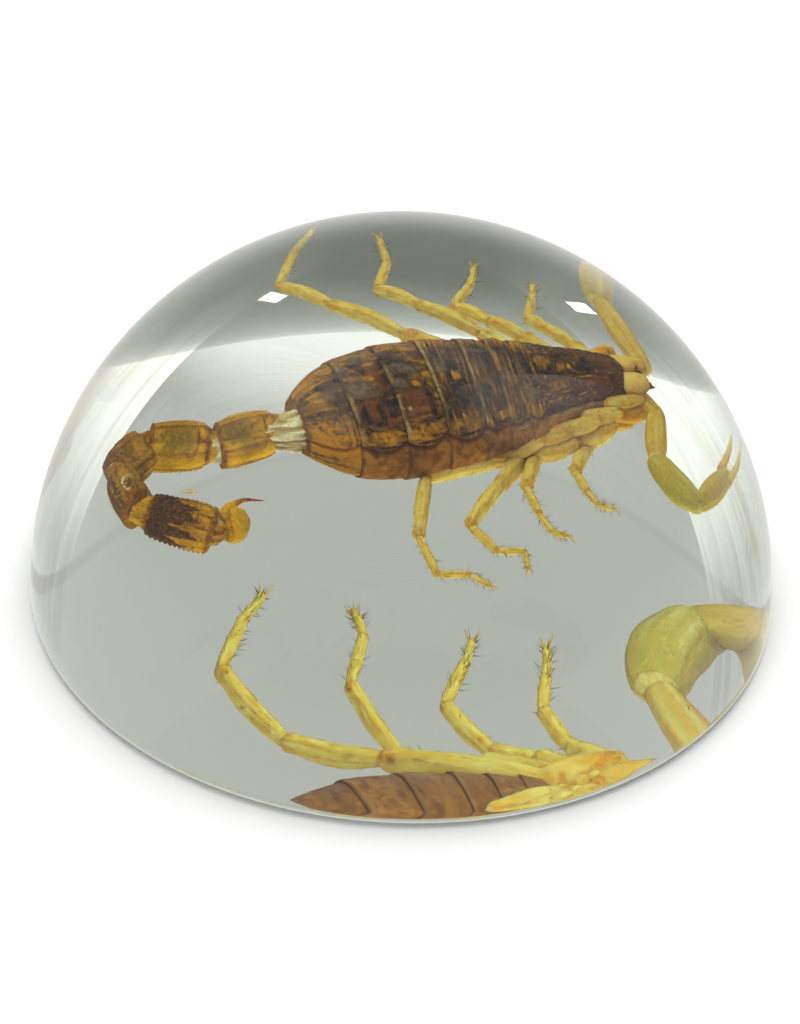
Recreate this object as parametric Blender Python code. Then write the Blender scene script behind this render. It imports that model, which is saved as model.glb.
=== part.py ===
"""A dried scorpion cast in a clear resin dome.

The dome stands on its flat base, with the base centre at the origin and +Z up. The resin is
parted in two at a level plane through the specimen, so that the scorpion and a loose flake of
its skin lie in pockets of their own. The scorpion's head points along +X and its tail curls
round on the -Y side. Lengths are written in millimetres and scaled to metres as meshes are made.
"""
import math

import bpy
import bmesh
from mathutils import Matrix, Vector

MM = 0.001

# Dome
DOME_RADIUS = 33.5
BASE_BEVEL = 0.9              # rounded edge between the dome and its flat base
PARTING_HEIGHT = 15.2         # level of the joint between the two casts
PARTING_GAP = 0.3
DOME_SEGMENTS = 48
DOME_RINGS_BELOW = 3
DOME_RINGS_ABOVE = 7

# Specimen: where the body lies
BODY_HEADING = math.radians(17.9)     # turned from +X towards +Y
BODY_REAR = Vector((-8.4, -5.35))     # rear end of the trunk, on the body's own axis
BODY_HEIGHT = 16.9                    # level of the trunk's widest line
BEND_START = 12.0                     # behind this the trunk curves up and to its right
REAR_RISE, REAR_SHIFT = 0.6, 0.5      # how far its rear end is bent

# Trunk: distance from the rear end, half width, half height
TRUNK_PROFILE = (
    (0.4, 2.4, 1.7), (1.6, 3.7, 2.4), (3.0, 4.6, 2.8), (5.0, 5.3, 3.0), (8.0, 5.7, 3.15),
    (12.0, 5.3, 3.0), (15.0, 4.6, 2.8), (18.0, 3.9, 2.5),
)
PLATE_EDGES = (0.4, 4.4, 7.3, 10.4, 13.3, 15.2, 16.9, 18.0)   # rear edges of the back plates
PLATE_LEDGE = 0.28                    # how far each plate's rear edge stands over the next
CARAPACE_PROFILE = ((18.0, 3.7, 2.3), (20.0, 3.1, 2.2), (22.0, 2.4, 2.0),
                    (23.6, 1.9, 1.7), (24.4, 1.5, 1.2))
CARAPACE_OVERLAP = 0.1                # how far it lies over the first back plate
CARAPACE_OFFSET = 0.3                 # the head end stands a little to its left
EYE_DISTANCE = 21.9                   # the mound with the middle eyes, along the trunk
EYE_MOUND_PROFILE = ((-0.75, 0.25), (-0.35, 0.42), (0.35, 0.42), (0.75, 0.22))
TRUNK_SIDES = 16

# Chelicerae, the two short jaws in front of the carapace
JAW_START, JAW_END = 23.2, 26.1
JAW_SPREAD = 0.78
JAW_RADIUS = 0.85

# Legs: coxa root, trochanter, then the four joints and the tip of the foot
LEGS = {
    "right_1": ((13.4, 2.2, 15.6), (13.8, 0.2, 13.8), (12.5, -1.3, 13.6), (11.8, -5.2, 14.2),
                (12.9, -6.9, 13.9), (13.7, -7.8, 13.6), (14.8, -7.6, 13.1)),
    "right_2": ((12.0, 1.2, 15.0), (10.2, -1.8, 13.4), (8.9, -3.2, 13.8), (8.5, -7.7, 14.6),
                (9.6, -9.8, 14.0), (10.6, -11.2, 13.6), (11.7, -11.0, 13.1)),
    "right_3": ((11.0, 0.8, 14.6), (8.0, -3.7, 13.5), (6.7, -7.9, 14.9), (4.7, -11.9, 14.3),
                (6.8, -13.8, 13.6), (8.8, -13.4, 13.4), (9.2, -15.0, 13.1)),
    "right_4": ((9.4, 0.4, 14.4), (5.8, -4.0, 13.5), (1.4, -7.7, 15.0), (1.1, -13.3, 14.2),
                (2.6, -16.9, 13.6), (5.0, -16.4, 13.4), (6.5, -17.3, 13.1)),
    "left_1": ((13.2, 2.9, 15.8), (10.9, 6.2, 15.4), (8.8, 7.5, 15.6), (7.4, 9.0, 14.6),
               (7.4, 11.0, 14.0), (7.4, 12.0, 13.7), (7.3, 12.8, 13.5)),
    "left_2": ((11.8, 2.8, 15.4), (7.4, 6.3, 15.8), (5.0, 7.3, 16.1), (2.5, 9.4, 14.9),
               (3.4, 11.9, 14.0), (3.6, 12.9, 13.9), (3.6, 13.6, 13.9)),
    "left_3": ((10.2, 2.6, 15.0), (4.6, 6.0, 16.1), (0.3, 7.8, 16.9), (-2.3, 10.7, 14.8),
               (-1.7, 13.7, 14.0), (-2.0, 14.9, 13.8), (-2.2, 15.7, 14.0)),
    "left_4": ((8.8, 2.4, 14.8), (-0.5, 5.7, 15.9), (-5.4, 8.0, 16.4), (-8.6, 11.3, 14.5),
               (-7.4, 15.0, 14.1), (-6.7, 16.2, 14.0), (-6.5, 16.8, 14.0)),
}
LEG_RADII = (0.8, 0.7, 0.62, 0.38, 0.29, 0.26)      # greatest radius of each leg section
LONG_SECTION_RADIUS = 0.3             # sections thicker than this swell near both ends
FOOT_END_RADIUS = 0.14
CLAW_LENGTH = 0.7
CLAW_SPREAD = math.radians(27)

# Pedipalps, the two arms with pincers: root, trochanter, elbow, wrist, finger root
ARMS = {
    "right": ((14.6, 2.6, 16.0), (17.5, 1.3, 14.8), (18.2, -3.9, 14.7), (22.9, -7.9, 14.7),
              (25.4, -3.6, 14.6)),
    "left": ((13.8, 3.4, 16.2), (16.5, 4.7, 16.3), (12.0, 12.0, 14.6), (12.3, 16.9, 14.4),
             (16.6, 16.6, 14.5)),
}
ARM_RADII = (0.95, 0.9, 1.25)
WRIST_RADIUS = 0.5
PALM_RADIUS = 1.15
FINGERS = {
    "right": (((24.6, -3.2, 14.6), (25.6, -0.2, 14.6), (26.1, 2.3, 14.6)),
              ((25.8, -4.5, 14.6), (27.3, -1.1, 14.6), (28.1, 2.3, 14.6))),
    "left": (((16.4, 16.1, 14.5), (19.4, 14.6, 14.4), (21.0, 12.0, 14.3)),
             ((16.9, 17.0, 14.5), (20.3, 15.9, 14.5), (22.6, 12.6, 14.3))),
}
FINGER_RADIUS = 0.42

# Tail: joints from the trunk to the sting's bulb, the side of each segment that is its back,
# and each segment's width and height
TAIL_JOINTS = ((-8.9, -5.1, 16.9), (-13.7, -6.2, 16.2), (-19.4, -5.6, 15.8),
               (-22.7, -8.3, 15.6), (-20.9, -12.6, 15.4), (-14.2, -14.5, 14.9))
TAIL_BACKS = ((0.0, -0.1, 1.0), (0.0, -0.1, 1.0), (0.4, 0.1, 1.0), (0.9, 0.3, 0.7), (0.3, 1.0, 0.25))
TAIL_SIZES = ((3.7, 3.2), (3.8, 3.2), (4.4, 3.4), (4.4, 3.4), (3.3, 3.1))
TAIL_PROFILE = ((0.1, 0.72), (0.3, 0.94), (0.75, 1.0), (0.98, 0.78))    # share along, scale
TAIL_NECK_REACH = 1.2                 # how far each neck runs into the piece before it
BULB_CENTRE = (-12.55, -13.6, 14.9)
BULB_RADII = (1.25, 1.5, 1.3)
STING_PATH = ((-13.4, -12.9, 15.1), (-13.0, -12.0, 15.3), (-12.4, -11.35, 15.3),
              (-11.6, -10.95, 15.4), (-10.2, -11.1, 15.3))
STING_RADII = (0.4, 0.38, 0.3, 0.2, 0.05)

# Loose flake of skin beside the tail
FLAKE_CENTRE = (-15.9, -10.2, PARTING_HEIGHT)
FLAKE_SIZE = (1.3, 0.55, 0.3)

# Pockets
POCKET_CLEARANCE = 0.42
POCKET_TUBE_SIDES = 6
POCKET_LEG_SIDES = 5
SMOOTH_ANGLE = math.radians(38)

# Materials: colour, roughness, alpha
FINISHES = {
    "resin": ((0.80, 0.83, 0.79, 1.0), 0.05, 0.3),
    "chitin": ((0.45, 0.25, 0.06, 1.0), 0.45, 1.0),
}


def make_material(finish):
    """Give a Principled material for one of the finishes."""
    colour, roughness, alpha = FINISHES[finish]
    material = bpy.data.materials.get(finish) or bpy.data.materials.new(finish)
    material.use_nodes = True
    shader = material.node_tree.nodes["Principled BSDF"]
    shader.inputs["Base Color"].default_value = colour
    shader.inputs["Roughness"].default_value = roughness
    shader.inputs["Metallic"].default_value = 0.0
    shader.inputs["Alpha"].default_value = alpha
    return material


def add_object(name, bm, finish):
    """Turn a bmesh in millimetres into a named object in metres."""
    bmesh.ops.recalc_face_normals(bm, faces=bm.faces)
    bmesh.ops.scale(bm, vec=(MM, MM, MM), verts=bm.verts)
    mesh = bpy.data.meshes.new(name)
    bm.to_mesh(mesh)
    bm.free()
    mesh.materials.append(make_material(finish))
    obj = bpy.data.objects.new(name, mesh)
    bpy.context.scene.collection.objects.link(obj)
    return obj


def mark_as_cutter(obj):
    """Keep a helper out of the finished model."""
    obj.hide_render = True
    obj.display_type = "WIRE"


def loft(rings):
    """Join rings of points, all of one length, into a closed skin with flat ends."""
    bm = bmesh.new()
    rows = [[bm.verts.new(point) for point in ring] for ring in rings]
    count = len(rows[0])
    for row, following in zip(rows, rows[1:]):
        for i in range(count):
            j = (i + 1) % count
            bm.faces.new((row[i], row[j], following[j], following[i]))
    bm.faces.new(rows[0])
    bm.faces.new(reversed(rows[-1]))
    return bm


def circle_angles(sides):
    return [2.0 * math.pi * (i + 0.5) / sides for i in range(sides)]


def tube(points, radii, sides, grow=0.0, flatten=1.0):
    """Sweep a round section along a bent line that lies roughly level.

    The ring at each bend stands in the plane that halves it, so the tube keeps its thickness.
    A grown tube is enlarged and lengthened, with flats no closer than the growth.
    """
    points = [Vector(point) for point in points]
    radii = [radius + grow for radius in radii]
    if grow:
        radii = [radius / math.cos(math.pi / sides) for radius in radii]
        points[0] -= (points[1] - points[0]).normalized() * grow
        points[-1] += (points[-1] - points[-2]).normalized() * grow
    rings = []
    for i, point in enumerate(points):
        before = (point - points[i - 1]).normalized() if i else (points[1] - point).normalized()
        after = (points[i + 1] - point).normalized() if i + 1 < len(points) else before
        along = (before + after).normalized()
        side = along.cross(Vector((0.0, 0.0, 1.0))).normalized()
        up = side.cross(along).normalized()
        stretch = 1.0 / max(0.6, along.dot(after))
        ring = []
        for angle in circle_angles(sides):
            offset = side * (math.cos(angle) * stretch) + up * (math.sin(angle) * flatten)
            ring.append(point + offset * radii[i])
        rings.append(ring)
    return loft(rings)


def body_point(distance, left, height):
    """Place a point given along, across and above the trunk's own axis."""
    forward = Vector((math.cos(BODY_HEADING), math.sin(BODY_HEADING)))
    across = Vector((-forward.y, forward.x))
    bend = max(0.0, 1.0 - distance / BEND_START) ** 2
    place = BODY_REAR + forward * distance + across * (left - REAR_SHIFT * bend)
    return Vector((place.x, place.y, BODY_HEIGHT + height + REAR_RISE * bend))


def profile_at(profile, distance):
    """Read the half width and half height between the profile's stations."""
    for (start, *low), (end, *high) in zip(profile, profile[1:]):
        if distance <= end:
            share = (distance - start) / (end - start)
            return [a + (b - a) * max(0.0, share) for a, b in zip(low, high)]
    return list(profile[-1][1:])


def trunk_ring(distance, half_width, half_height, sides, ledge=0.0, left=0.0):
    """One section of the trunk: a flattened oval, raised along the back by the ledge."""
    ring = []
    for angle in circle_angles(sides):
        c, s = math.cos(angle), math.sin(angle)
        x = math.copysign(abs(c) ** 0.8, c) * half_width
        z = math.copysign(abs(s) ** 0.9, s) * half_height
        if s > 0.0:
            z += ledge * s
            x += ledge * 0.5 * c
        ring.append(body_point(distance, left + x, z))
    return ring


def trunk_shape(grow=0.0, sides=TRUNK_SIDES):
    """The seven-plated trunk, with each plate's rear edge standing over the next one."""
    if grow:
        scale = 1.0 / math.cos(math.pi / sides)
        stations = [(PLATE_EDGES[0] - grow, *TRUNK_PROFILE[0][1:]), *TRUNK_PROFILE[1:-1],
                    (PLATE_EDGES[-1] + grow, *TRUNK_PROFILE[-1][1:])]
        return loft([trunk_ring(d, (w + grow + PLATE_LEDGE) * scale,
                                (h + grow + PLATE_LEDGE) * scale, sides)
                     for d, w, h in stations])
    rings = []
    for rear, front in zip(PLATE_EDGES, PLATE_EDGES[1:]):
        length = front - rear
        for share, ledge in ((0.02, PLATE_LEDGE), (0.5, PLATE_LEDGE * 0.45), (0.98, 0.0)):
            distance = rear + length * share
            width, height = profile_at(TRUNK_PROFILE, distance)
            rings.append(trunk_ring(distance, width, height, sides, ledge))
    return loft(rings)


def carapace_shape(grow=0.0, sides=TRUNK_SIDES):
    """The shield over the head, narrowing to a blunt front edge."""
    scale = 1.0 / math.cos(math.pi / sides) if grow else 1.0
    rings = []
    for i, (distance, width, height) in enumerate(CARAPACE_PROFILE):
        left = CARAPACE_OFFSET * i / (len(CARAPACE_PROFILE) - 1)
        if grow and i == len(CARAPACE_PROFILE) - 1:
            distance += grow
        ledge = 0.0 if grow else PLATE_LEDGE * (0.6 if i == 0 else 0.2)
        if i == 0:
            distance -= CARAPACE_OVERLAP
        rings.append(trunk_ring(distance, (width + grow) * scale, (height + grow) * scale,
                                sides, ledge, left))
    return loft(rings)


def eye_shape(grow=0.0):
    """The low mound on the carapace that carries the middle pair of eyes."""
    width, height = profile_at(CARAPACE_PROFILE, EYE_DISTANCE)
    rings = []
    for distance, size in EYE_MOUND_PROFILE:
        size += grow * 1.2
        distance *= 1.0 + grow
        centre = body_point(EYE_DISTANCE + distance, CARAPACE_OFFSET * 0.6, height - 0.05)
        across = body_point(0.0, 1.0, 0.0) - body_point(0.0, 0.0, 0.0)
        ring = [centre + across * math.cos(a) * size + Vector((0.0, 0.0, math.sin(a) * size))
                for a in circle_angles(8)]
        rings.append(ring)
    return loft(rings)


def jaw_shapes(grow=0.0, sides=8):
    """The pair of short jaws, each ending in a small pointed finger."""
    shapes = []
    for side in (-1.0, 1.0):
        left = CARAPACE_OFFSET + side * JAW_SPREAD
        stations = ((JAW_START, left, 0.15, JAW_RADIUS * 0.9), (24.6, left, 0.2, JAW_RADIUS),
                    (25.6, left, 0.1, JAW_RADIUS * 0.85), (JAW_END, left * 0.9, -0.25, 0.3),
                    (JAW_END + 0.5, left * 0.8, -0.5, 0.12))
        points = [body_point(distance, across, height) for distance, across, height, _ in stations]
        shapes.append(tube(points, [radius for *_, radius in stations], sides, grow))
    return shapes


def leg_shape(joints, grow=0.0, sides=6):
    """One leg as a single tube that narrows at each joint."""
    joints = [Vector(joint) for joint in joints]
    points, radii = [joints[0]], [LEG_RADII[0] * 0.8]
    for start, end, radius, following in zip(joints, joints[1:], LEG_RADII,
                                             LEG_RADII[1:] + (FOOT_END_RADIUS,)):
        points.append(end)
        if grow:
            radii.append(max(radius, following))
            continue
        radii.append(max(radius * 0.62, following * 0.8))
        if radius > LONG_SECTION_RADIUS:
            points[-1:-1] = [start.lerp(end, 0.25), start.lerp(end, 0.8)]
            radii[-1:-1] = [radius, radius * 0.92]
        else:
            points[-1:-1] = [start.lerp(end, 0.4)]
            radii[-1:-1] = [radius]
    radii[-1] = LEG_RADII[-1] if grow else FOOT_END_RADIUS
    return tube(points, radii, sides, grow)


def claw_shapes(joints):
    """The two small claws at the end of a foot."""
    foot, tip = Vector(joints[-2]), Vector(joints[-1])
    forward = (tip - foot).normalized()
    shapes = []
    for turn in (-CLAW_SPREAD, CLAW_SPREAD):
        claw = Matrix.Rotation(turn, 3, "Z") @ forward * CLAW_LENGTH
        start = tip - forward * 0.25
        bend = tip + claw * 0.5
        end = tip + claw + Vector((0.0, 0.0, -0.12))
        shapes.append(tube([start, bend, end], (0.12, 0.1, 0.04), 3))
    return shapes


def arm_shape(joints, grow=0.0, sides=8):
    """An arm from its root in the trunk to the wrist."""
    joints = [Vector(joint) for joint in joints[:4]]
    points, radii = [joints[0]], [ARM_RADII[0] * 0.9]
    for start, end, radius in zip(joints, joints[1:], ARM_RADII):
        if grow:
            points += [start.lerp(end, 0.15), end]
            radii += [radius, radius]
        else:
            points += [start.lerp(end, 0.25), start.lerp(end, 0.8), end]
            radii += [radius, radius * 0.95, radius * 0.62]
    if not grow:
        radii[-1] = WRIST_RADIUS
    return tube(points, radii, sides, grow)


def palm_shape(joints, grow=0.0, sides=9):
    """The swollen palm of a pincer."""
    wrist, root = Vector(joints[3]), Vector(joints[4])
    shares = ((-0.12, 0.42), (0.1, 0.8), (0.45, 1.0), (0.8, 0.92), (1.15, 0.62))
    points = [wrist.lerp(root, share) for share, _ in shares]
    return tube(points, [PALM_RADIUS * size for _, size in shares], sides, grow, 0.9)


def finger_shapes(fingers, grow=0.0, sides=6):
    """The fixed and the moving finger of a pincer, thin and gently curved."""
    shapes = []
    for path in fingers:
        points = [Vector(point) for point in path]
        radii = [FINGER_RADIUS, FINGER_RADIUS * 0.72, 0.1]
        shapes.append(tube(points, radii, sides, grow))
    return shapes


def tail_ring(centre, along, back, width, height, corners):
    """A tail section: keeled back with a groove, ribbed flanks and a narrower belly."""
    side = along.cross(back).normalized()
    up = side.cross(along).normalized()
    return [centre + side * (x * width) + up * (z * height) for x, z in corners]


TAIL_CORNERS = ((0.0, 0.38), (0.3, 0.5), (0.47, 0.36), (0.5, 0.0), (0.42, -0.36), (0.16, -0.5),
                (-0.16, -0.5), (-0.42, -0.36), (-0.5, 0.0), (-0.47, 0.36), (-0.3, 0.5))
TAIL_POCKET_CORNERS = ((0.36, 0.55), (0.62, 0.22), (0.52, -0.38), (0.2, -0.58),
                       (-0.2, -0.58), (-0.52, -0.38), (-0.62, 0.22), (-0.36, 0.55))


def tail_shapes(grow=0.0):
    """The five tail segments, each with a narrow neck inside the one before it."""
    joints = [Vector(joint) for joint in TAIL_JOINTS]
    stations = TAIL_PROFILE
    corners = TAIL_POCKET_CORNERS if grow else TAIL_CORNERS
    shapes = []
    for start, end, back, size in zip(joints, joints[1:], TAIL_BACKS, TAIL_SIZES):
        along = (end - start).normalized()
        length = (end - start).length
        if grow:
            stations = ((0.2, 1.0), (1.0, 1.02), (1.0 + 2.0 * grow / length, 0.98))
        width, height = (extent + 2.0 * grow for extent in size)
        neck = (-TAIL_NECK_REACH / length, 0.85 if grow else 0.5)
        rings = [tail_ring(start.lerp(end, share), along, Vector(back), width * scale,
                           height * scale, corners) for share, scale in (neck, *stations)]
        shapes.append(loft(rings))
    return shapes


def bulb_shape(grow=0.0, sides=10, rows=7):
    """The rounded bulb that carries the sting."""
    centre = Vector(BULB_CENTRE)
    radii = [radius + grow for radius in BULB_RADII]
    rings = []
    for row in range(rows):
        tilt = math.pi * (row + 0.35) / (rows - 0.3)
        ring_radius = math.sin(tilt)
        height = math.cos(tilt)
        rings.append([centre + Vector((math.cos(a) * ring_radius * radii[0],
                                       math.sin(a) * ring_radius * radii[1], height * radii[2]))
                      for a in circle_angles(sides)])
    return loft(rings)


def neck_shape(grow=0.0):
    """The short stalk between the last tail segment and the bulb."""
    end = Vector(TAIL_JOINTS[-1])
    start = end.lerp(Vector(TAIL_JOINTS[-2]), 0.12)
    return tube([start, end, Vector(BULB_CENTRE)], (0.9, 0.85, 0.85), 8, grow)


def flake_shape(grow=0.0):
    """A thin curled flake of skin, eight-cornered."""
    half = [extent / 2.0 + grow for extent in FLAKE_SIZE]
    centre = Vector(FLAKE_CENTRE)
    outline = [(-1.0, -0.3), (-0.35, -0.9), (0.6, -1.0), (1.0, -0.45), (0.95, 0.3),
               (0.3, 0.85), (-0.2, 1.0), (-0.8, 0.45)]
    return loft([[centre + Vector((x * half[0], y * half[1], z * half[2])) for x, y in outline]
                 for z in (-1.0, 1.0)])


def specimen_shapes():
    """All the closed shapes that overlap to make the scorpion."""
    shapes = [trunk_shape(), carapace_shape(), eye_shape(), neck_shape(), bulb_shape()]
    shapes += jaw_shapes() + tail_shapes()
    shapes.append(tube(STING_PATH, STING_RADII, 7))
    for joints in LEGS.values():
        shapes.append(leg_shape(joints))
        shapes += claw_shapes(joints)
    for side, joints in ARMS.items():
        shapes += [arm_shape(joints), palm_shape(joints)]
        shapes += finger_shapes(FINGERS[side])
    return shapes


def pocket_shapes():
    """The same shapes with fewer faces, grown by the clearance of the pocket."""
    grow = POCKET_CLEARANCE
    sides = POCKET_TUBE_SIDES
    shapes = [trunk_shape(grow, 12), carapace_shape(grow, 12), eye_shape(grow), neck_shape(grow)]
    shapes.append(bulb_shape(grow + 0.12, 8, 5))
    shapes += jaw_shapes(grow, sides) + tail_shapes(grow)
    shapes.append(tube(STING_PATH, STING_RADII, sides, grow))
    for joints in LEGS.values():
        foot, tip = Vector(joints[-2]), Vector(joints[-1])
        reach = tip + (tip - foot).normalized() * CLAW_LENGTH
        shapes.append(leg_shape(tuple(joints[:-1]) + (tuple(reach),), grow + 0.05, POCKET_LEG_SIDES))
    for side, joints in ARMS.items():
        shapes += [arm_shape(joints, grow, sides), palm_shape(joints, grow, 8)]
        shapes += finger_shapes(FINGERS[side], grow, sides)
    shapes.append(flake_shape(grow))
    return shapes


def gather(name, shapes, finish):
    """Put closed shapes into a collection of their own, as helpers for a Boolean."""
    group = bpy.data.collections.new(name)
    bpy.context.scene.collection.children.link(group)
    for i, bm in enumerate(shapes):
        part = add_object(f"{name}_{i}", bm, finish)
        bpy.context.scene.collection.objects.unlink(part)
        group.objects.link(part)
        mark_as_cutter(part)
    return group


def discard(group):
    for part in list(group.objects):
        bpy.data.objects.remove(part, do_unlink=True)
    bpy.data.collections.remove(group)


def combine(obj, group, operation):
    """Join a collection's shapes to an object, or cut them out of it."""
    step = obj.modifiers.new(operation.title(), "BOOLEAN")
    step.operation = operation
    step.solver = "EXACT"
    step.operand_type = "COLLECTION"
    step.collection = group
    settle(obj)


def settle(obj):
    """Replace an object's mesh by what its modifiers give."""
    depsgraph = bpy.context.evaluated_depsgraph_get()
    mesh = bpy.data.meshes.new_from_object(obj.evaluated_get(depsgraph))
    obj.modifiers.clear()
    obj.data = mesh
    bm = bmesh.new()
    bm.from_mesh(mesh)
    bmesh.ops.dissolve_degenerate(bm, dist=0.000001, edges=bm.edges)
    keep_outer_skin(bm)
    bm.to_mesh(mesh)
    bm.free()
    mesh.shade_smooth()
    mesh.set_sharp_from_angle(angle=SMOOTH_ANGLE)


def keep_outer_skin(bm):
    """Keep the largest skin of a body, without small hollows or chips cut off from it."""
    unseen = set(bm.faces)
    skins = []
    while unseen:
        waiting = [unseen.pop()]
        skin = set(waiting)
        while waiting:
            for edge in waiting.pop().edges:
                for face in edge.link_faces:
                    if face in unseen:
                        unseen.remove(face)
                        skin.add(face)
                        waiting.append(face)
        skins.append(skin)
    outer = max(skins, key=lambda skin: sum(face.calc_area() for face in skin))
    inner = [face for skin in skins if skin is not outer for face in skin]
    bmesh.ops.delete(bm, geom=inner, context="FACES")


def turned_body(name, profile, finish):
    """Turn a half outline, given as radius and height from bottom to top, about the Z axis."""
    bm = bmesh.new()
    rows = []
    for radius, height in profile:
        if radius < 0.001:
            rows.append([bm.verts.new((0.0, 0.0, height))])
            continue
        rows.append([bm.verts.new((radius * math.cos(a), radius * math.sin(a), height))
                     for a in circle_angles(DOME_SEGMENTS)])
    for row, following in zip(rows, rows[1:]):
        for i in range(DOME_SEGMENTS):
            j = (i + 1) % DOME_SEGMENTS
            if len(following) == 1:
                bm.faces.new((row[i], row[j], following[0]))
            else:
                bm.faces.new((row[i], row[j], following[j], following[i]))
    bm.faces.new(list(reversed(rows[0])))
    if len(rows[-1]) > 1:
        bm.faces.new(rows[-1])
    return add_object(name, bm, finish)


def sphere_radius_at(height):
    return math.sqrt(max(0.0, DOME_RADIUS ** 2 - height ** 2))


def lower_profile():
    """The base with its rounded edge, and the dome's side up to the parting plane."""
    corner_radius = sphere_radius_at(BASE_BEVEL) - BASE_BEVEL
    profile = []
    for step in range(3):
        angle = math.radians(-90 + 45 * step)
        profile.append((corner_radius + BASE_BEVEL * math.cos(angle),
                        BASE_BEVEL + BASE_BEVEL * math.sin(angle)))
    top = PARTING_HEIGHT - PARTING_GAP / 2.0
    first = math.asin(BASE_BEVEL / DOME_RADIUS)
    last = math.asin(top / DOME_RADIUS)
    for step in range(1, DOME_RINGS_BELOW + 1):
        angle = first + (last - first) * step / DOME_RINGS_BELOW
        profile.append((DOME_RADIUS * math.cos(angle), DOME_RADIUS * math.sin(angle)))
    return profile


def upper_profile():
    """The dome's cap above the parting plane."""
    bottom = PARTING_HEIGHT + PARTING_GAP / 2.0
    first = math.asin(bottom / DOME_RADIUS)
    profile = []
    for step in range(DOME_RINGS_ABOVE + 1):
        angle = first + (math.pi / 2.0 - first) * step / DOME_RINGS_ABOVE
        profile.append((DOME_RADIUS * math.cos(angle), DOME_RADIUS * math.sin(angle)))
    profile[-1] = (0.0, DOME_RADIUS)
    return profile


def build():
    for obj in list(bpy.data.objects):
        bpy.data.objects.remove(obj, do_unlink=True)
    first, *others = specimen_shapes()
    scorpion = add_object("scorpion", first, "chitin")
    body_parts = gather("body_parts", others, "chitin")
    combine(scorpion, body_parts, "UNION")
    discard(body_parts)
    add_object("loose_flake", flake_shape(), "chitin")
    pocket_parts = gather("pocket_parts", pocket_shapes(), "resin")
    for name, profile in (("resin_lower", lower_profile()), ("resin_upper", upper_profile())):
        combine(turned_body(name, profile, "resin"), pocket_parts, "DIFFERENCE")
    discard(pocket_parts)


build()
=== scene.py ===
import random
from functools import partial
from math import asin, copysign, cos, degrees, exp, hypot, pi, radians, sin, sqrt, tau

import bpy
from mathutils import Matrix, Vector, noise


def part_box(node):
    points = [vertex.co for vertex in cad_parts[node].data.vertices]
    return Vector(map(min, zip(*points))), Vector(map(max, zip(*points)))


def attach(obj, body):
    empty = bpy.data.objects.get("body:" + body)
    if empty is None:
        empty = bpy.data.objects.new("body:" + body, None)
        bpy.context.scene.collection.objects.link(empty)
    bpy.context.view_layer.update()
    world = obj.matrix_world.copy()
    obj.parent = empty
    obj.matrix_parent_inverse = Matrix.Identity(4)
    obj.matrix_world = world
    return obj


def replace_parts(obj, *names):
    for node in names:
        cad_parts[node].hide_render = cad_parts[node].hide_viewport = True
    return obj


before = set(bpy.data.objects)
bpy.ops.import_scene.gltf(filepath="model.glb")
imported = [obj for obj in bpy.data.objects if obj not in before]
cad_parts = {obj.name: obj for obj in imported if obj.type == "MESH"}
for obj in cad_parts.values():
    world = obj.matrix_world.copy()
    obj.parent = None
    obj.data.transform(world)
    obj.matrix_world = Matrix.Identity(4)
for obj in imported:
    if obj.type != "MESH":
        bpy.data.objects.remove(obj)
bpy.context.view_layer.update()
scene = bpy.context.scene
mm = 0.001  # lengths are in millimetres until a piece's mesh is made
up = Vector((0, 0, 1))
markNames = ("dark", "amber", "pale", "red", "grey")  # a skin's marks stand in this order
specimenNames = []


# small tools for building skins

def step01(low, high, value):  # smooth 0 to 1 between two values
    share = min(1.0, max(0.0, (value - low) / (high - low)))
    return share * share * (3 - 2 * share)


def hump(value, centre, width):
    return exp(-((value - centre) / width) ** 2)


def humps(value, centres, width):
    return sum(hump(value, centre, width) for centre in centres)


def plus(value):  # what stands above zero
    return max(0.0, value)


def rough(x, y, z=0):  # smooth noise from about -1 to 1
    return noise.noise(Vector((x, y, z)))


def skinNoise(distance, angle):  # the same noise, with scales along and round a body
    return lambda along, across, seed: rough(distance * along, angle * across, seed)


def roughRound(angle, size, at, shift=0):  # and round a limb
    return rough(at, cos(angle) * size, sin(angle) * size + shift)


def curveAt(stations, x):  # smooth curve through (x, a, b, ...) stations
    x = min(max(x, stations[0][0]), stations[-1][0])
    i = next(n for n in range(len(stations) - 1) if x <= stations[n + 1][0])
    (x0, *starts), (x1, *ends) = stations[i], stations[i + 1]
    before, after = stations[max(0, i - 1)], stations[min(len(stations) - 1, i + 2)]
    t = (x - x0) / (x1 - x0)
    values = []
    for k, (p1, p2) in enumerate(zip(starts, ends), 1):
        m1 = (p2 - before[k]) / (x1 - before[0]) * (x1 - x0)
        m2 = (after[k] - p1) / (after[0] - x0) * (x1 - x0)
        values.append((2 * t ** 3 - 3 * t ** 2 + 1) * p1 + (t ** 3 - 2 * t ** 2 + t) * m1
                      + (3 * t ** 2 - 2 * t ** 3) * p2 + (t ** 3 - t ** 2) * m2)
    return values


def scaled(sizes, width, height):  # (share, width, height) rows at their full size
    return [(share, width * w, height * h) for share, w, h in sizes]


def between(p0, p1, p2, p3, f):  # smooth curve from p1 to p2
    return (p1 * 2 + (p2 - p0) * f + (p0 * 2 - p1 * 5 + p2 * 4 - p3) * f ** 2
            + (p1 * 3 - p0 - p2 * 3 + p3) * f ** 3) * 0.5


def pathAt(points, share):  # smooth curve through points, share from 0 to 1
    spans = len(points) - 1
    x = min(max(share, 0.0), 1.0) * spans
    i = min(int(x), spans - 1)
    p1, p2 = points[i], points[i + 1]
    p0 = points[i - 1] if i else p1 * 2 - p2
    p3 = points[i + 2] if i + 2 <= spans else p2 * 2 - p1
    return between(p0, p1, p2, p3, x - i)


def newSkin():
    return {"points": [], "faces": [], "marks": []}


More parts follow.
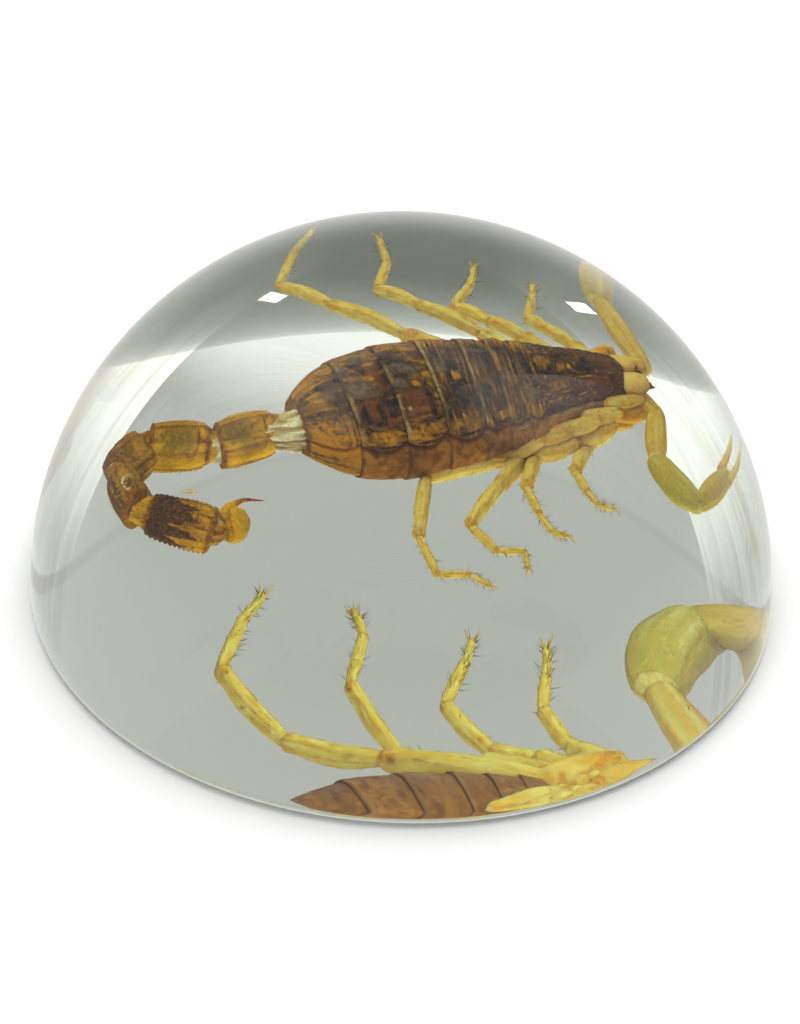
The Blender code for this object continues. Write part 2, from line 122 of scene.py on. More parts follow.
def addRings(skin, rings, capped=True):  # rings of (point, marks), joined one to the next
    start, count = len(skin["points"]), len(rings[0])
    last = start + (len(rings) - 1) * count
    for ring in rings:
        skin["points"] += [point for point, _ in ring]
        skin["marks"] += [marks for _, marks in ring]
    for a in range(start, last, count):
        for i in range(count):
            j = (i + 1) % count
            skin["faces"].append((a + i, a + j, a + count + j, a + count + i))
    if capped:
        skin["faces"].append(tuple(start + i for i in reversed(range(count))))
        skin["faces"].append(tuple(last + i for i in range(count)))


def frameAt(path, share, back):
    centre = pathAt(path, share)
    along = (pathAt(path, share + 0.01) - pathAt(path, share - 0.01)).normalized()
    side = along.cross(back).normalized()
    return centre, along, side, side.cross(along)


# sweeps a section along a path: sizes are (share, half width, half height), and
# surface(share, angle) gives how far the skin stands out there and its marks
def addLimb(skin, path, back, sizes, surface, steps, sides, outline=None):
    path = [Vector(p) for p in path]
    rings = []
    for row in range(steps + 1):
        share = row / steps
        centre, along, side, rise = frameAt(path, share, back)
        width, height = curveAt(sizes, share)
        ring = []
        for k in range(sides):
            angle = tau * (k + 0.5) / sides
            x, z = outline(angle) if outline else (cos(angle), sin(angle))
            out, marks = surface(share, angle)
            ring.append((centre + side * x * (width + out) + rise * z * (height + out), marks))
        rings.append(ring)
    addRings(skin, rings)


def addBall(skin, centre, radii, marks=(1,), axis=up, rows=9, sides=14, wrinkle=0):
    side = axis.orthogonal().normalized()
    other = axis.cross(side)
    rings = []
    for row in range(rows):
        tilt = pi * (row + 0.4) / (rows - 0.2)
        ring = []
        for k in range(sides):
            angle = tau * k / sides
            reach = 1 + wrinkle * rough(cos(angle) * 2, sin(angle) * 2, tilt * 3)
            ring.append((centre + (side * cos(angle) * sin(tilt) * radii[0]
                                   + other * sin(angle) * sin(tilt) * radii[1]
                                   + axis * cos(tilt) * radii[2]) * reach, marks))
        rings.append(ring)
    addRings(skin, rings)


def addHair(skin, root, direction, length, radius=0.021, droop=0.12):
    direction = direction.normalized()
    side = direction.orthogonal().normalized()
    other = direction.cross(side)
    rings = []
    for share, size in ((0, 1), (0.5, 0.75), (1, 0.15)):
        centre = root + direction * length * share - up * droop * length * share * share
        rings.append([(centre + (side * cos(a) + other * sin(a)) * radius * size, (1,))
                      for a in (0, tau / 3, tau * 2 / 3)])
    addRings(skin, rings)


def makePiece(name, skin, material, slotName):
    mesh = bpy.data.meshes.new(name)
    mesh.from_pydata([p * mm for p in skin["points"]], [], skin["faces"])
    for i, mark in enumerate(markNames):
        layer = mesh.attributes.new(mark, "FLOAT", "POINT")
        layer.data.foreach_set("value", [min(1.8, plus(m[i])) if i < len(m) else 0.0
                                         for m in skin["marks"]])
    mesh.shade_smooth()
    mesh.materials.append(material)
    piece = bpy.data.objects.new(name, mesh)
    scene.collection.objects.link(piece)
    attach(piece, "root")
    if slotName != "resin":
        specimenNames.append(name)
    print(name, len(mesh.polygons), "faces")
    return piece


# where the body lies: distance from its rear end, to its left, and above its widest line

body = {
    "heading": radians(17.9), "rear": Vector((-8.4, -5.35)), "height": 16.9,
    "bendStart": 12, "rearRise": 0.6, "rearShift": 0.5, "headShift": 0.3,
}


def bodyPoint(distance, left, height):
    forward = Vector((cos(body["heading"]), sin(body["heading"])))
    across = Vector((-forward.y, forward.x))
    bend = plus(1 - distance / body["bendStart"]) ** 2
    place = body["rear"] + forward * distance + across * (left - body["rearShift"] * bend)
    return Vector((place.x, place.y, body["height"] + height + body["rearRise"] * bend))


# materials

def srgb(r, g, b):  # a colour as picked on screen, 0 to 255
    return tuple((c / 255 / 12.92) if c < 10 else ((c / 255 + 0.055) / 1.055) ** 2.4
                 for c in (r, g, b)) + (1,)


def fill(node, values):  # links a node's inputs, or sets them
    for key, value in values.items():
        if isinstance(value, bpy.types.NodeSocket):
            node.id_data.links.new(value, node.inputs[key])
        else:
            node.inputs[key].default_value = value


def addNode(tree, kind, values=(), **settings):
    node = tree.nodes.new("ShaderNode" + kind)
    for key, value in settings.items():
        setattr(node, key, value)
    fill(node, dict(values))
    return node


def maths(tree, operation, a, b, **settings):
    return addNode(tree, "Math", {0: a, 1: b}, operation=operation, **settings).outputs[0]


def ramp(tree, value, low, high, lowest=0, highest=1, **settings):
    return addNode(tree, "MapRange", {"Value": value, "From Min": low, "From Max": high,
                                      "To Min": lowest, "To Max": highest},
                   **settings).outputs[0]


def blend(tree, share, a, b):
    return addNode(tree, "Mix", {"Factor": share, "A": a, "B": b}).outputs[0]


def tint(tree, share, a, b, **settings):
    return addNode(tree, "Mix", {"Factor": share, 6: a, 7: b}, data_type="RGBA",
                   **settings).outputs[2]


def newGroup(name, inputs, outputs):
    group = bpy.data.node_groups.new(name, "ShaderNodeTree")
    for label, value in inputs.items():
        kind = "NodeSocketVector" if isinstance(value, tuple) else "NodeSocketFloat"
        socket = group.interface.new_socket(label, in_out="INPUT", socket_type=kind)
        socket.default_value = value
    for label in outputs:
        group.interface.new_socket(label, in_out="OUTPUT", socket_type="NodeSocketFloat")
    return group, group.nodes.new("NodeGroupInput").outputs, group.nodes.new("NodeGroupOutput")


def mottleGroup():  # blotches and streaks of a dried skin, as a mask and a height
    group, given, result = newGroup(
        "dried mottle", {"Scale": 800, "Stretch": (1, 1, 1), "Sharpness": 0.2}, ("Mask", "Height"))
    place = addNode(group, "TexCoord").outputs["Object"]
    stretched = addNode(group, "VectorMath", {0: place, 1: given["Stretch"]},
                        operation="MULTIPLY")
    blotch = addNode(group, "TexNoise", {
        "Vector": stretched.outputs[0], "Scale": given["Scale"], "Detail": 6,
        "Roughness": 0.62, "Distortion": 0.6}).outputs["Fac"]
    low = maths(group, "SUBTRACT", 0.5, given["Sharpness"])
    high = maths(group, "ADD", 0.5, given["Sharpness"])
    fill(result, {"Mask": ramp(group, blotch, low, high, interpolation_type="SMOOTHSTEP"),
                  "Height": blotch})
    return group


def grainGroup():  # fine granules and pits of the cuticle
    group, given, result = newGroup(
        "cuticle grain", {"Scale": 5000, "Coarse Share": 0.5}, ("Height", "Specks"))
    place = addNode(group, "TexCoord").outputs["Object"]
    cells = addNode(group, "TexVoronoi", {"Vector": place, "Scale": given["Scale"]})
    folds = addNode(group, "TexNoise", {
        "Vector": place, "Scale": maths(group, "MULTIPLY", given["Scale"], 0.3), "Detail": 4})
    cells, folds = cells.outputs["Distance"], folds.outputs["Fac"]
    fill(result, {"Height": blend(group, given["Coarse Share"], cells, folds),
                  "Specks": ramp(group, cells, 0.12, 0.3, 1, 0)})
    return group


mottle, grain = mottleGroup(), grainGroup()


def newMaterial(name):
    material = bpy.data.materials.new(name)
    material.use_nodes = True
    return material, material.node_tree, material.node_tree.nodes["Principled BSDF"]


def cuticle(name, finish):  # a dried skin whose marks blend its colours
    material, tree, shader = newMaterial("scorpion " + name)
    scale = finish["blotchScale"]
    wide = addNode(tree, "Group", {"Scale": scale, "Stretch": finish.get("stretch", (1, 1, 1)),
                                   "Sharpness": 0.16}, node_tree=mottle).outputs
    fine = addNode(tree, "Group", {"Scale": scale * 3.3, "Sharpness": 0.12},
                   node_tree=mottle).outputs
    relief = addNode(tree, "Group", {"Scale": finish["grainScale"]}, node_tree=grain).outputs
    colour = tint(tree, wide["Mask"], srgb(*finish["base"]), srgb(*finish["blotch"]))
    for mark, share in (("amber", 0.55), ("dark", 0.45), ("red", 0.5), ("grey", 0.4),
                        ("pale", 0.35)):
        if mark in finish:
            place = addNode(tree, "Attribute", attribute_name=mark).outputs["Fac"]
            swing = ramp(tree, fine["Mask"], 0, 1, share, 1.45)
            amount = maths(tree, "MULTIPLY", place, swing, use_clamp=True)
            colour = tint(tree, amount, colour, srgb(*finish[mark]))
    specks = maths(tree, "MULTIPLY", relief["Specks"], finish.get("specks", 0.25))
    bump = addNode(tree, "Bump", {
        "Height": maths(tree, "ADD", relief["Height"], fine["Height"]),
        "Strength": finish.get("bump", 0.35), "Distance": 0.00012})
    fill(shader, {
        "Base Color": tint(tree, specks, colour, srgb(*finish["speck"]), blend_type="MULTIPLY"),
        "Roughness": ramp(tree, wide["Height"], 0.3, 0.7, *finish["roughness"]),
        "Normal": bump.outputs[0], "IOR": 1.18, "Subsurface Weight": finish.get("glow", 0),
        "Subsurface Radius": (1, 0.55, 0.2), "Subsurface Scale": 0.0006})
    return material


def resinMaterial():
    material, tree, shader = newMaterial("clear resin")
    fill(shader, {"Base Color": (1, 1, 1, 1), "Roughness": 0, "IOR": 1.5,
                  "Transmission Weight": 1})
    inside = addNode(tree, "VolumeAbsorption", {"Color": (0.9, 0.945, 0.9, 1), "Density": 28})
    fill(tree.nodes["Material Output"], {"Volume": inside.outputs[0]})
    return material


def eyeMaterial():
    material, tree, shader = newMaterial("scorpion eye")
    speck = addNode(tree, "Group", node_tree=mottle).outputs["Mask"]
    fill(shader, {"Base Color": tint(tree, speck, srgb(14, 10, 9), srgb(38, 26, 20)),
                  "Roughness": 0.12})
    return material


finishes = {  # colours from 0 to 255, and the sizes of blotches and grain
    "back": dict(
        base=(84, 47, 22), blotch=(48, 27, 15), speck=(120, 96, 80), dark=(17, 10, 9),
        amber=(176, 112, 12), pale=(148, 120, 82), red=(104, 48, 16), grey=(102, 90, 84),
        blotchScale=700, grainScale=7000, roughness=(0.32, 0.62), bump=0.5, stretch=(1, 1.6, 1)),
    "legs": dict(
        base=(212, 184, 92), blotch=(204, 164, 64), speck=(160, 112, 52), dark=(124, 66, 16),
        amber=(206, 138, 14), pale=(230, 214, 152), red=(176, 104, 40), grey=(172, 148, 66),
        blotchScale=1100, grainScale=9000, roughness=(0.3, 0.55), bump=0.5, glow=0.3, specks=0.4),
    "tail": dict(
        base=(182, 128, 10), blotch=(156, 102, 8), speck=(126, 80, 24), dark=(50, 30, 22),
        amber=(212, 150, 4), pale=(214, 200, 168), red=(118, 60, 10), grey=(122, 92, 24),
        blotchScale=700, grainScale=6500, roughness=(0.3, 0.55), bump=0.6, glow=0.2),
    "jaws": dict(
        base=(216, 172, 74), blotch=(202, 148, 44), speck=(176, 130, 60), dark=(62, 26, 10),
        amber=(196, 128, 20), pale=(228, 206, 140), blotchScale=900, grainScale=9000,
        roughness=(0.25, 0.45), glow=0.3),
    "skin": dict(
        base=(196, 176, 130), blotch=(160, 128, 78), speck=(170, 140, 100), dark=(96, 60, 30),
        amber=(168, 120, 50), pale=(226, 214, 186), blotchScale=1500, grainScale=8000,
        roughness=(0.4, 0.7), glow=0.2, stretch=(0.4, 1.5, 1.5)),
    "hair": dict(
        base=(124, 88, 46), blotch=(104, 70, 36), speck=(60, 40, 20), dark=(104, 70, 36),
        blotchScale=900, grainScale=9000, roughness=(0.35, 0.5)),
}
finishes["sting"] = dict(finishes["tail"], base=(196, 150, 18), blotch=(178, 128, 12),
                         dark=(112, 28, 18), amber=(206, 144, 6))
materials = {name: cuticle(name, finish) for name, finish in finishes.items()}
materials["resin"], materials["eye"] = resinMaterial(), eyeMaterial()
print("materials made")


# the resin dome, one clear solid with a rounded base edge

dome = {"radius": 33.5, "edge": 1.2, "sides": 288, "rings": 110, "edgeRings": 8}


def buildDome():
    skin = newSkin()
    radius, edge, sides = dome["radius"], dome["edge"], dome["sides"]
    corner = sqrt(radius ** 2 - edge ** 2) - edge
    outline = []
    for i in range(dome["edgeRings"] + 1):
        angle = radians(-90 + 90 * i / dome["edgeRings"])
        outline.append((corner + edge * cos(angle), edge + edge * sin(angle)))
    first = asin(edge / radius)
    for i in range(1, dome["rings"]):
        angle = first + (pi / 2 - first) * i / dome["rings"]
        outline.append((radius * cos(angle), radius * sin(angle)))
    turns = [tau * k / sides for k in range(sides)]
    addRings(skin, [[(Vector((r * cos(a), r * sin(a), z)), ()) for a in turns]
                    for r, z in outline], capped=False)
    middle = len(skin["points"])
    last = middle - sides
    skin["points"] += [Vector(), Vector((0, 0, radius))]
    skin["marks"] += [(), ()]
    for i in range(sides):
        j = (i + 1) % sides
        skin["faces"] += [(j, i, middle), (last + i, last + j, middle + 1)]
    piece = makePiece("resinDome", skin, materials["resin"], "resin")
    for face in piece.data.polygons:  # the polished base is truly flat
        if middle in face.vertices:
            face.use_smooth = False
    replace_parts(piece, "resin_lower", "resin_upper")


buildDome()


# trunk: seven back plates, each one's rear edge standing over the next, over a folded flank

trunk = {
    "profile": ((0.2, 2.2, 1.6), (0.9, 3, 2.05), (1.8, 3.8, 2.45), (3, 4.6, 2.8), (5, 5.3, 3),
                (8, 5.7, 3.15), (12, 5.3, 3), (15, 4.6, 2.8), (18, 3.9, 2.5)),
    "powers": (0.8, 0.9),  # how squared-off the section is, across and up
    "plateEdges": (0.4, 3.9, 7.3, 10.4, 13.3, 15.2, 16.9, 18),  # rear edges
    "midline": 104,  # degrees round from the far side; the body lies rolled a little
    "reachNear": 51, "reachFar": 58,  # degrees that a plate reaches to each side
    "ledge": 0.24, "rowLength": 0.065, "columns": 240,
    "rims": (0.6, 0.5, 1, 1, 0.9, 0.7, 0.6),  # how pale each plate's rear edge is
    "patches": (  # mark, distance, degrees round, half length, half width, strength
        ("amber", 2.1, 142, 2.4, 33, 1), ("amber", 1, 156, 1.1, 14, 1.5),
        ("grey", 3, 126, 0.75, 13, 0.32), ("dark", 2.5, 136, 0.6, 3, 0.45),
        ("dark", 3.55, 136, 0.09, 22, 0.6), ("dark", 3.1, 140, 0.06, 17, 0.5),
        ("red", 0.35, 140, 0.22, 60, 0.9), ("dark", 1.5, 106, 1.9, 2.2, 0.9),
        ("amber", 0.9, 62, 0.7, 9, 0.9), ("amber", 1.4, 84, 0.8, 3, 0.9),
        ("amber", 2, 73, 0.9, 2.2, 0.8), ("amber", 1.9, 95, 0.8, 1.8, 0.8),
        ("dark", 2.9, 92, 0.8, 9, 0.7), ("grey", 2.6, 89, 0.5, 3, 0.55),
        ("dark", 5.15, 118, 1.4, 17, 1), ("red", 5.2, 112, 0.5, 11, 0.9),
        ("grey", 5, 92.5, 1, 6.5, 0.55), ("amber", 5.9, 85, 0.45, 2.2, 1),
        ("amber", 4.5, 82, 0.45, 2, 0.8), ("red", 6.6, 84, 0.35, 12, 0.6),
        ("amber", 5.8, 141, 1.5, 7.5, 0.95), ("dark", 5.9, 153.5, 1.3, 1.8, 1),
        ("grey", 5.6, 62, 0.9, 6, 0.45), ("red", 6.2, 121, 0.12, 12, 0.8),
        ("grey", 8.4, 83, 1.25, 5, 0.6), ("dark", 8.2, 89, 0.9, 1.4, 1),
        ("grey", 7.9, 93.5, 0.6, 3.6, 0.55), ("amber", 9, 94, 0.36, 2, 1.5),
        ("red", 8.6, 111, 1.1, 15, 0.75), ("dark", 9.75, 111, 0.4, 21, 1),
        ("pale", 7.95, 115.5, 0.15, 2.2, 0.9), ("amber", 8.7, 139, 1.5, 7, 0.75),
        ("amber", 8.5, 147.5, 0.5, 1.7, 1.4), ("dark", 8.95, 152.5, 1.2, 1.8, 1),
        ("amber", 12.1, 92.5, 0.34, 4, 1.4), ("dark", 11.8, 112, 0.9, 17, 1),
        ("grey", 11.2, 86, 0.5, 4, 0.5), ("amber", 11.5, 139, 1.1, 7, 0.6),
        ("dark", 11.9, 152, 1, 2, 1), ("amber", 14.9, 141, 0.8, 6, 0.8),
        # the grey patches at 16.2 and 17.2 along and the pale spots from 15.6 to 16.1 are painted
        # sheen: a whitish reflection on the near side of the body
        ("dark", 14.8, 149, 0.7, 2.2, 1), ("grey", 16.2, 160, 0.7, 10, 0.4),
        ("pale", 16, 166, 0.45, 2.5, 0.7), ("pale", 16.1, 156, 0.5, 2, 0.7),
        ("pale", 15.6, 174, 0.4, 3, 0.6), ("grey", 17.2, 124, 0.5, 9, 0.35),
    ),
    "outlines": (  # thin reddish frames: distance, degrees round, half length, half width
        (5.3, 118, 1.15, 14), (8.75, 111, 1.2, 17), (11.9, 112, 0.62, 15),
    ),
}


def roundAngles(count):  # degrees round a body, closer together on the side that is seen
    seen = int(count * 0.75)
    angles = [35 + 180 * (k + 0.5) / seen for k in range(seen)]
    angles += [215 + 180 * (k + 0.5) / (count - seen) for k in range(count - seen)]
    return [a if a < 270 else a - 360 for a in angles]


def ovalPoint(angle, width, height, powers):  # direction and place on a squared-off oval
    c, s = cos(radians(angle)), sin(radians(angle))
    return (c, s, copysign(abs(c) ** powers[0], c) * width,
            copysign(abs(s) ** powers[1], s) * height)


def paintPatches(marks, patches, distance, angle):  # soft-cornered blots with uneven edges
    noiseAt = skinNoise(distance, angle)
    for mark, at, turn, length, width, strength in patches:
        u, v = (distance - at) / length, (angle - turn) / width
        if abs(u) > 1.6 or abs(v) > 1.6:
            continue
        uneven = 0.3 * noiseAt(2.6, 0.13, at) + 0.15 * noiseAt(8, 0.4, at)
        cover = strength * (1 - step01(0.55, 1.15, (u ** 4 + v ** 4) ** 0.25 + uneven))
        cover *= 0.85 + 0.6 * noiseAt(3.5, 0.2, at + 5)
        for other in marks:
            marks[other] *= 1 - min(1, cover) * (0 if other == mark else 0.85)
        marks[mark] = max(marks[mark], cover)


def trunkSurface(plate, share, distance, angle):  # how far the skin stands out, and its marks
    noiseAt = skinNoise(distance, angle)
    off = angle - trunk["midline"]
    lat = abs(off)
    reach = trunk["reachNear"] if off > 0 else trunk["reachFar"]
    lobe = sin(pi * min(1.0, share + 0.04))
    if off > 0:  # the near ends of the plates hang down in rounded lobes
        reach += 7 * lobe - 5 + 6 * rough(distance * 0.45, 6) + 2 * rough(distance * 1.7, 16)
    plated = 1 - step01(reach - 1.5, reach + 2, lat + 2.5 * rough(distance * 1.5, 3))
    side = 1 - plated
    belly = step01(reach + 5, reach + 9, lat)
    seed = plate * 7.3
    wave = noiseAt(0.75, 0.035, seed)
    crumple = noiseAt(2.2, 0.09, seed + 4)
    across = noiseAt(5.5, 0.05, seed + 33)  # lines beside the plate edges
    along = noiseAt(0.9, 0.28, seed + 21)  # lines down the body
    fine = noiseAt(8, 0.5, seed + 51)
    bend = 0.8 * crumple
    crease = hump(rough(distance * 0.9 + bend, angle * 0.09 + bend, seed + 15), 0, 0.05)
    out = plated * (0.12 + trunk["ledge"] * (1 - share) ** 1.6 + 0.1 * wave + 0.07 * crumple)
    out += plated * 0.05 * (hump(off, 0, 3) + hump(lat, 30, 3))  # weak keels
    out -= plated * (0.09 * hump(share, 0.82, 0.12) + 0.05 * crease)
    out += 0.3 * hump(lat, reach - 9, 8) * lobe ** 0.6
    out += side * (1 - belly) * (0.16 * crumple - 0.1) - 0.12 * hump(lat, reach + 3, 2.5)
    out += belly * (0.1 + 0.13 * (1 - share) + 0.03 * crumple)
    # colour marks
    core = hump(off, 4, 24) * hump(share, 0.52, 0.42)
    streaks = across if plate in (3, 4, 5, 6) else along
    marks = {
        "dark": plated * (0.4 + 0.45 * wave + 0.35 * core + 0.6 * streaks + 0.4 * crease
                          + 0.5 * fine)
        + side * (0.02 + 0.75 * plus(crumple) + 0.5 * plus(along) + 0.3 * fine)
        # the dark line at reach + 2.5, heaviest under the hanging lobes, is painted shade in the
        # groove below the plate edges
        + (0.15 + 0.6 * lobe) * (0.6 + crumple) * hump(lat, reach + 2.5, 2),
        "amber": plated * (plus(-streaks - 0.05) * 1.1 + plus(-wave - 0.1) * 0.8)
        + 0.7 * hump(lat, reach - 8, 9) * (0.7 + 0.8 * crumple)
        # the amber at 57 degrees round, along the far outline, is a painted glow: the orange fringe
        # that backlight makes at the far edge
        + side * (0.48 + 0.8 * wave - 0.5 * crumple) + 0.8 * hump(angle, 57, 4)
        + plated * 0.35 * plus(-fine - 0.1) + side * 0.5 * hump(distance, 16, 2.2),
        "pale": 0.3 * side * plus(-crumple - 0.1),
        "red": 0.6 * side + plated * 0.5 * plus(noiseAt(0.8, 0.05, 61)),
        "grey": plated * 0.55 * plus(noiseAt(1.3, 0.12, 71) - 0.12),
    }
    if plate == 0:  # golden all over, with dark lines drawn together towards the tail
        marks["red"] *= 0.3
        rays = rough(angle * 0.11 + 0.3 * crumple, distance * 0.25, 131)
        marks["amber"] += (0.45 + 1.4 * plus(-rays)) * hump(distance, 0.6, 2.2)
        marks["dark"] = marks["dark"] * 0.7 + 1.9 * plus(rays - 0.02) * hump(distance, 1.2, 2.6)
    paintPatches(marks, trunk["patches"], distance, angle)
    for at, turn, length, width in trunk["outlines"]:
        u, v = (distance - at) / length, (angle - turn) / width
        if abs(u) < 1.3 and abs(v) < 1.3:
            ring = hump((u ** 4 + v ** 4) ** 0.25 + 0.2 * crumple, 0.95, 0.04)
            ring *= 0.6 + 0.8 * plus(across + 0.2)
            marks["dark"] *= 1 - 0.7 * ring
            marks["red"] = max(marks["red"], 0.9 * ring)
            out += 0.03 * ring
    rim = hump(share, 0.03, 0.035 if plate else 0.02)
    rim *= 0.4 + 1.1 * noiseAt(0.6, 0.06, 44) + 0.6 * crumple
    rim *= plated * trunk["rims"][plate]
    marks["pale"] = max(marks["pale"], rim)
    marks["dark"] *= 1 - 0.7 * min(1, plus(rim))
    marks["dark"] += 0.7 * hump(share, 0.985, 0.02) + belly * 0.35 * hump(share, 0.02, 0.02)
    marks["pale"] += belly * 0.25 * hump(share, 0.05, 0.02)
    marks["amber"] += belly * (0.35 + 0.8 * plus(noiseAt(0.6, 0.06, 101))
                               + 0.5 * plus(noiseAt(2.5, 0.2, 111)))
    return out, tuple(marks.values())


def buildTrunk():
    skin, rings = newSkin(), []
    edges = trunk["plateEdges"]
    for plate, (rear, front) in enumerate(zip(edges, edges[1:])):
        rows = int((front - rear) / trunk["rowLength"])
        for row in range(-1, rows + 1):
            share = max(0.0, row / rows)
            distance = rear + (front - rear) * share - (0.1 if row == 0 else 0)
            width, height = curveAt(trunk["profile"], distance)
            ring = []
            for angle in roundAngles(trunk["columns"]):
                c, s, x, z = ovalPoint(angle, width, height, trunk["powers"])
                out, marks = trunkSurface(plate, share, distance, angle)
                if row == -1:  # foot of the step under this plate's rear edge
                    out -= trunk["ledge"] * 0.9
                    marks = (0.9,) if plate else (0.3, 1, 0.1)
                x, z = x + c * out, z + s * out
                if z < 0:
                    z *= 1 - 0.45 * hump(distance, 0, 3.4)
                ring.append((bodyPoint(distance, x, z), marks))
            rings.append(ring)
    addRings(skin, rings)
    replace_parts(makePiece("trunk", skin, materials["back"], "chitin"), "scorpion")


buildTrunk()


# head shield with its keels, rim and eyes

head = {
    "profile": ((17.7, 3.85, 2.45), (18.6, 3.6, 2.4), (20, 3.15, 2.25), (22, 2.45, 2.05),
                (23.4, 1.95, 1.8), (24.3, 1.68, 1.6), (24.8, 1.4, 1.2), (24.95, 1.15, 0.8)),
    "powers": (0.75, 0.8), "rimHeight": -0.35, "rows": 130, "columns": 200, "midline": 98,
    "moundRadii": (0.3, 0.42, 0.3), "sideEye": 0.13, "middleEye": 0.2,
    "rim": ((17.6, 166), (20, 170), (21.5, 174), (23, 184), (24.5, 188)),
    "stripe": ((18.9, 93), (20.6, 100), (22.4, 110), (24.2, 122)),  # dark line past the eyes
    "patches": (  # mark, distance, degrees round, half length, half width, strength
        ("red", 22.6, 80, 1.4, 18, 0.8), ("dark", 22.2, 92, 1.5, 6, 0.9),
        ("dark", 20.2, 76, 1, 12, 0.8), ("amber", 18.7, 84, 0.5, 8, 0.7),
        ("amber", 19.4, 118, 0.8, 9, 0.55), ("amber", 21.7, 111, 0.6, 3, 0.9),
        ("red", 22.6, 125, 1.1, 14, 0.7), ("dark", 20.8, 139, 0.6, 8, 0.8),
        ("amber", 21.1, 145, 0.35, 1.8, 1.5), ("amber", 20.6, 90.5, 0.12, 2.2, 1.5),
        ("amber", 18.8, 142, 0.5, 3, 0.6), ("dark", 18.9, 155, 0.9, 6, 0.8),
        ("amber", 19.9, 131, 0.4, 2, 0.8), ("dark", 23.8, 128, 0.3, 12, 1),
    ),
}


def headSurface(distance, angle):
    noiseAt = skinNoise(distance, angle)
    off = angle - head["midline"]
    wave = noiseAt(0.8, 0.04, 80)
    crumple = noiseAt(2.4, 0.1, 84)
    fleck = noiseAt(3.2, 0.16, 88)
    fine = noiseAt(7, 0.3, 92)
    keel = hump(abs(off), 12 + 5 * (24.4 - distance) / 6, 3.2)
    out = 0.1 * wave + 0.09 * crumple + 0.1 * keel - 0.16 * hump(off, 0, 7)
    out -= 0.2 * hump(distance, 19.6, 0.35) * hump(off, 0, 40)
    out += 0.1 * hump(distance, 18.1, 0.3) + 0.03 * fine
    stripe = curveAt(head["stripe"], distance)[0]
    marks = {
        "dark": 0.5 + 0.45 * wave - 0.35 * fine + 0.7 * hump(angle, stripe, 3.5),
        "amber": plus(fleck - 0.02) * 1.5 + 0.4 * plus(-fine),
        "pale": 0.25 * hump(distance, 17.85, 0.06), "red": 0.5 * plus(wave + 0.2), "grey": 0,
    }
    paintPatches(marks, head["patches"], distance, angle)
    rim = curveAt(head["rim"], distance)[0]
    edge = humps(angle, (rim, 2 * head["midline"] - rim), 3)
    below = step01(rim, rim + 3, angle)
    marks["dark"] = marks["dark"] * (1 - edge) * (1 - below) + 0.6 * hump(angle, rim - 7, 3)
    marks["pale"] = max(marks["pale"], 0.75 * edge)
    marks["amber"] = max(marks["amber"] * (1 - 0.6 * edge), 0.9 * below, 0.5 * edge)
    return out + 0.06 * edge, tuple(marks.values())


def buildHead():
    skin, rings = newSkin(), []
    first, last = head["profile"][0][0], head["profile"][-1][0]
    for row in range(head["rows"] + 1):
        distance = first + (last - first) * row / head["rows"]
        width, height = curveAt(head["profile"], distance)
        left = body["headShift"] * (distance - first) / (last - first)
        ring = []
        for angle in roundAngles(head["columns"]):
            c, s, x, z = ovalPoint(angle, width, height, head["powers"])
            out, marks = headSurface(distance, angle)
            if s > -0.12:
                x, z = x + c * out, z + s * out
            else:  # the underside is drawn up flat below the rim
                z, marks = max(z, head["rimHeight"]), (0.2, 0.8, 0.3)
            ring.append((bodyPoint(distance, left + x, z), marks))
        rings.append(ring)
    addRings(skin, rings)
    # mound of the middle eyes, and the small side eyes at the front corners
    for side in (-1, 1):
        addBall(skin, bodyPoint(21.9, 0.2 + side * 0.3, 2.12), head["moundRadii"])
        for k in range(3):
            addBall(skin, bodyPoint(23.75 - k * 0.3, 0.3 + side * (1.45 + k * 0.14), 1.05),
                    (head["sideEye"],) * 3, rows=7, sides=10)
    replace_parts(makePiece("headShield", skin, materials["back"], "chitin"), "scorpion")
    eyes = newSkin()
    for side in (-1, 1):
        addBall(eyes, bodyPoint(21.95, 0.2 + side * 0.42, 2.25), (head["middleEye"],) * 3,
                rows=11, sides=18)
    addBall(eyes, bodyPoint(23.5, -1.3, 0.75), (0.2, 0.3, 0.22))
    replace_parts(makePiece("eyes", eyes, materials["eye"], "chitin"), "scorpion")


buildHead()


# jaws: two cream barrels, each ending in a dark fang

jaws = {
    "start": 23.3, "sides": ((26.7, -0.48, 0.2), (25.9, 1.25, 0.42)),  # end, left, height
    "barrel": ((0, 0.72, 0.78), (0.35, 0.86, 0.88), (0.7, 0.78, 0.78), (0.9, 0.55, 0.55),
               (1, 0.25, 0.25)),
    "fangs": ((-0.28, 0.75, 0.27), (0.12, 0.55, 0.2)),  # drop, reach and half width
}


def barrelSurface(side, share, angle):
    wrinkle = rough(share * 5, angle * 1.5, side * 3)
    line = hump(angle, 0.35 if side > 0 else pi - 0.35, 0.12)
    return 0.03 * wrinkle - 0.05 * line, (
        0.5 * hump(share, 0.98, 0.1) + 0.25 * line,
        0.15 + 0.6 * step01(0.5, 1, share) + 0.6 * plus(wrinkle)
        # the deeper amber on the barrel's underside is painted shade
        + 0.7 * hump(sin(angle), -0.6, 0.6), 0.4 * (1 - share))


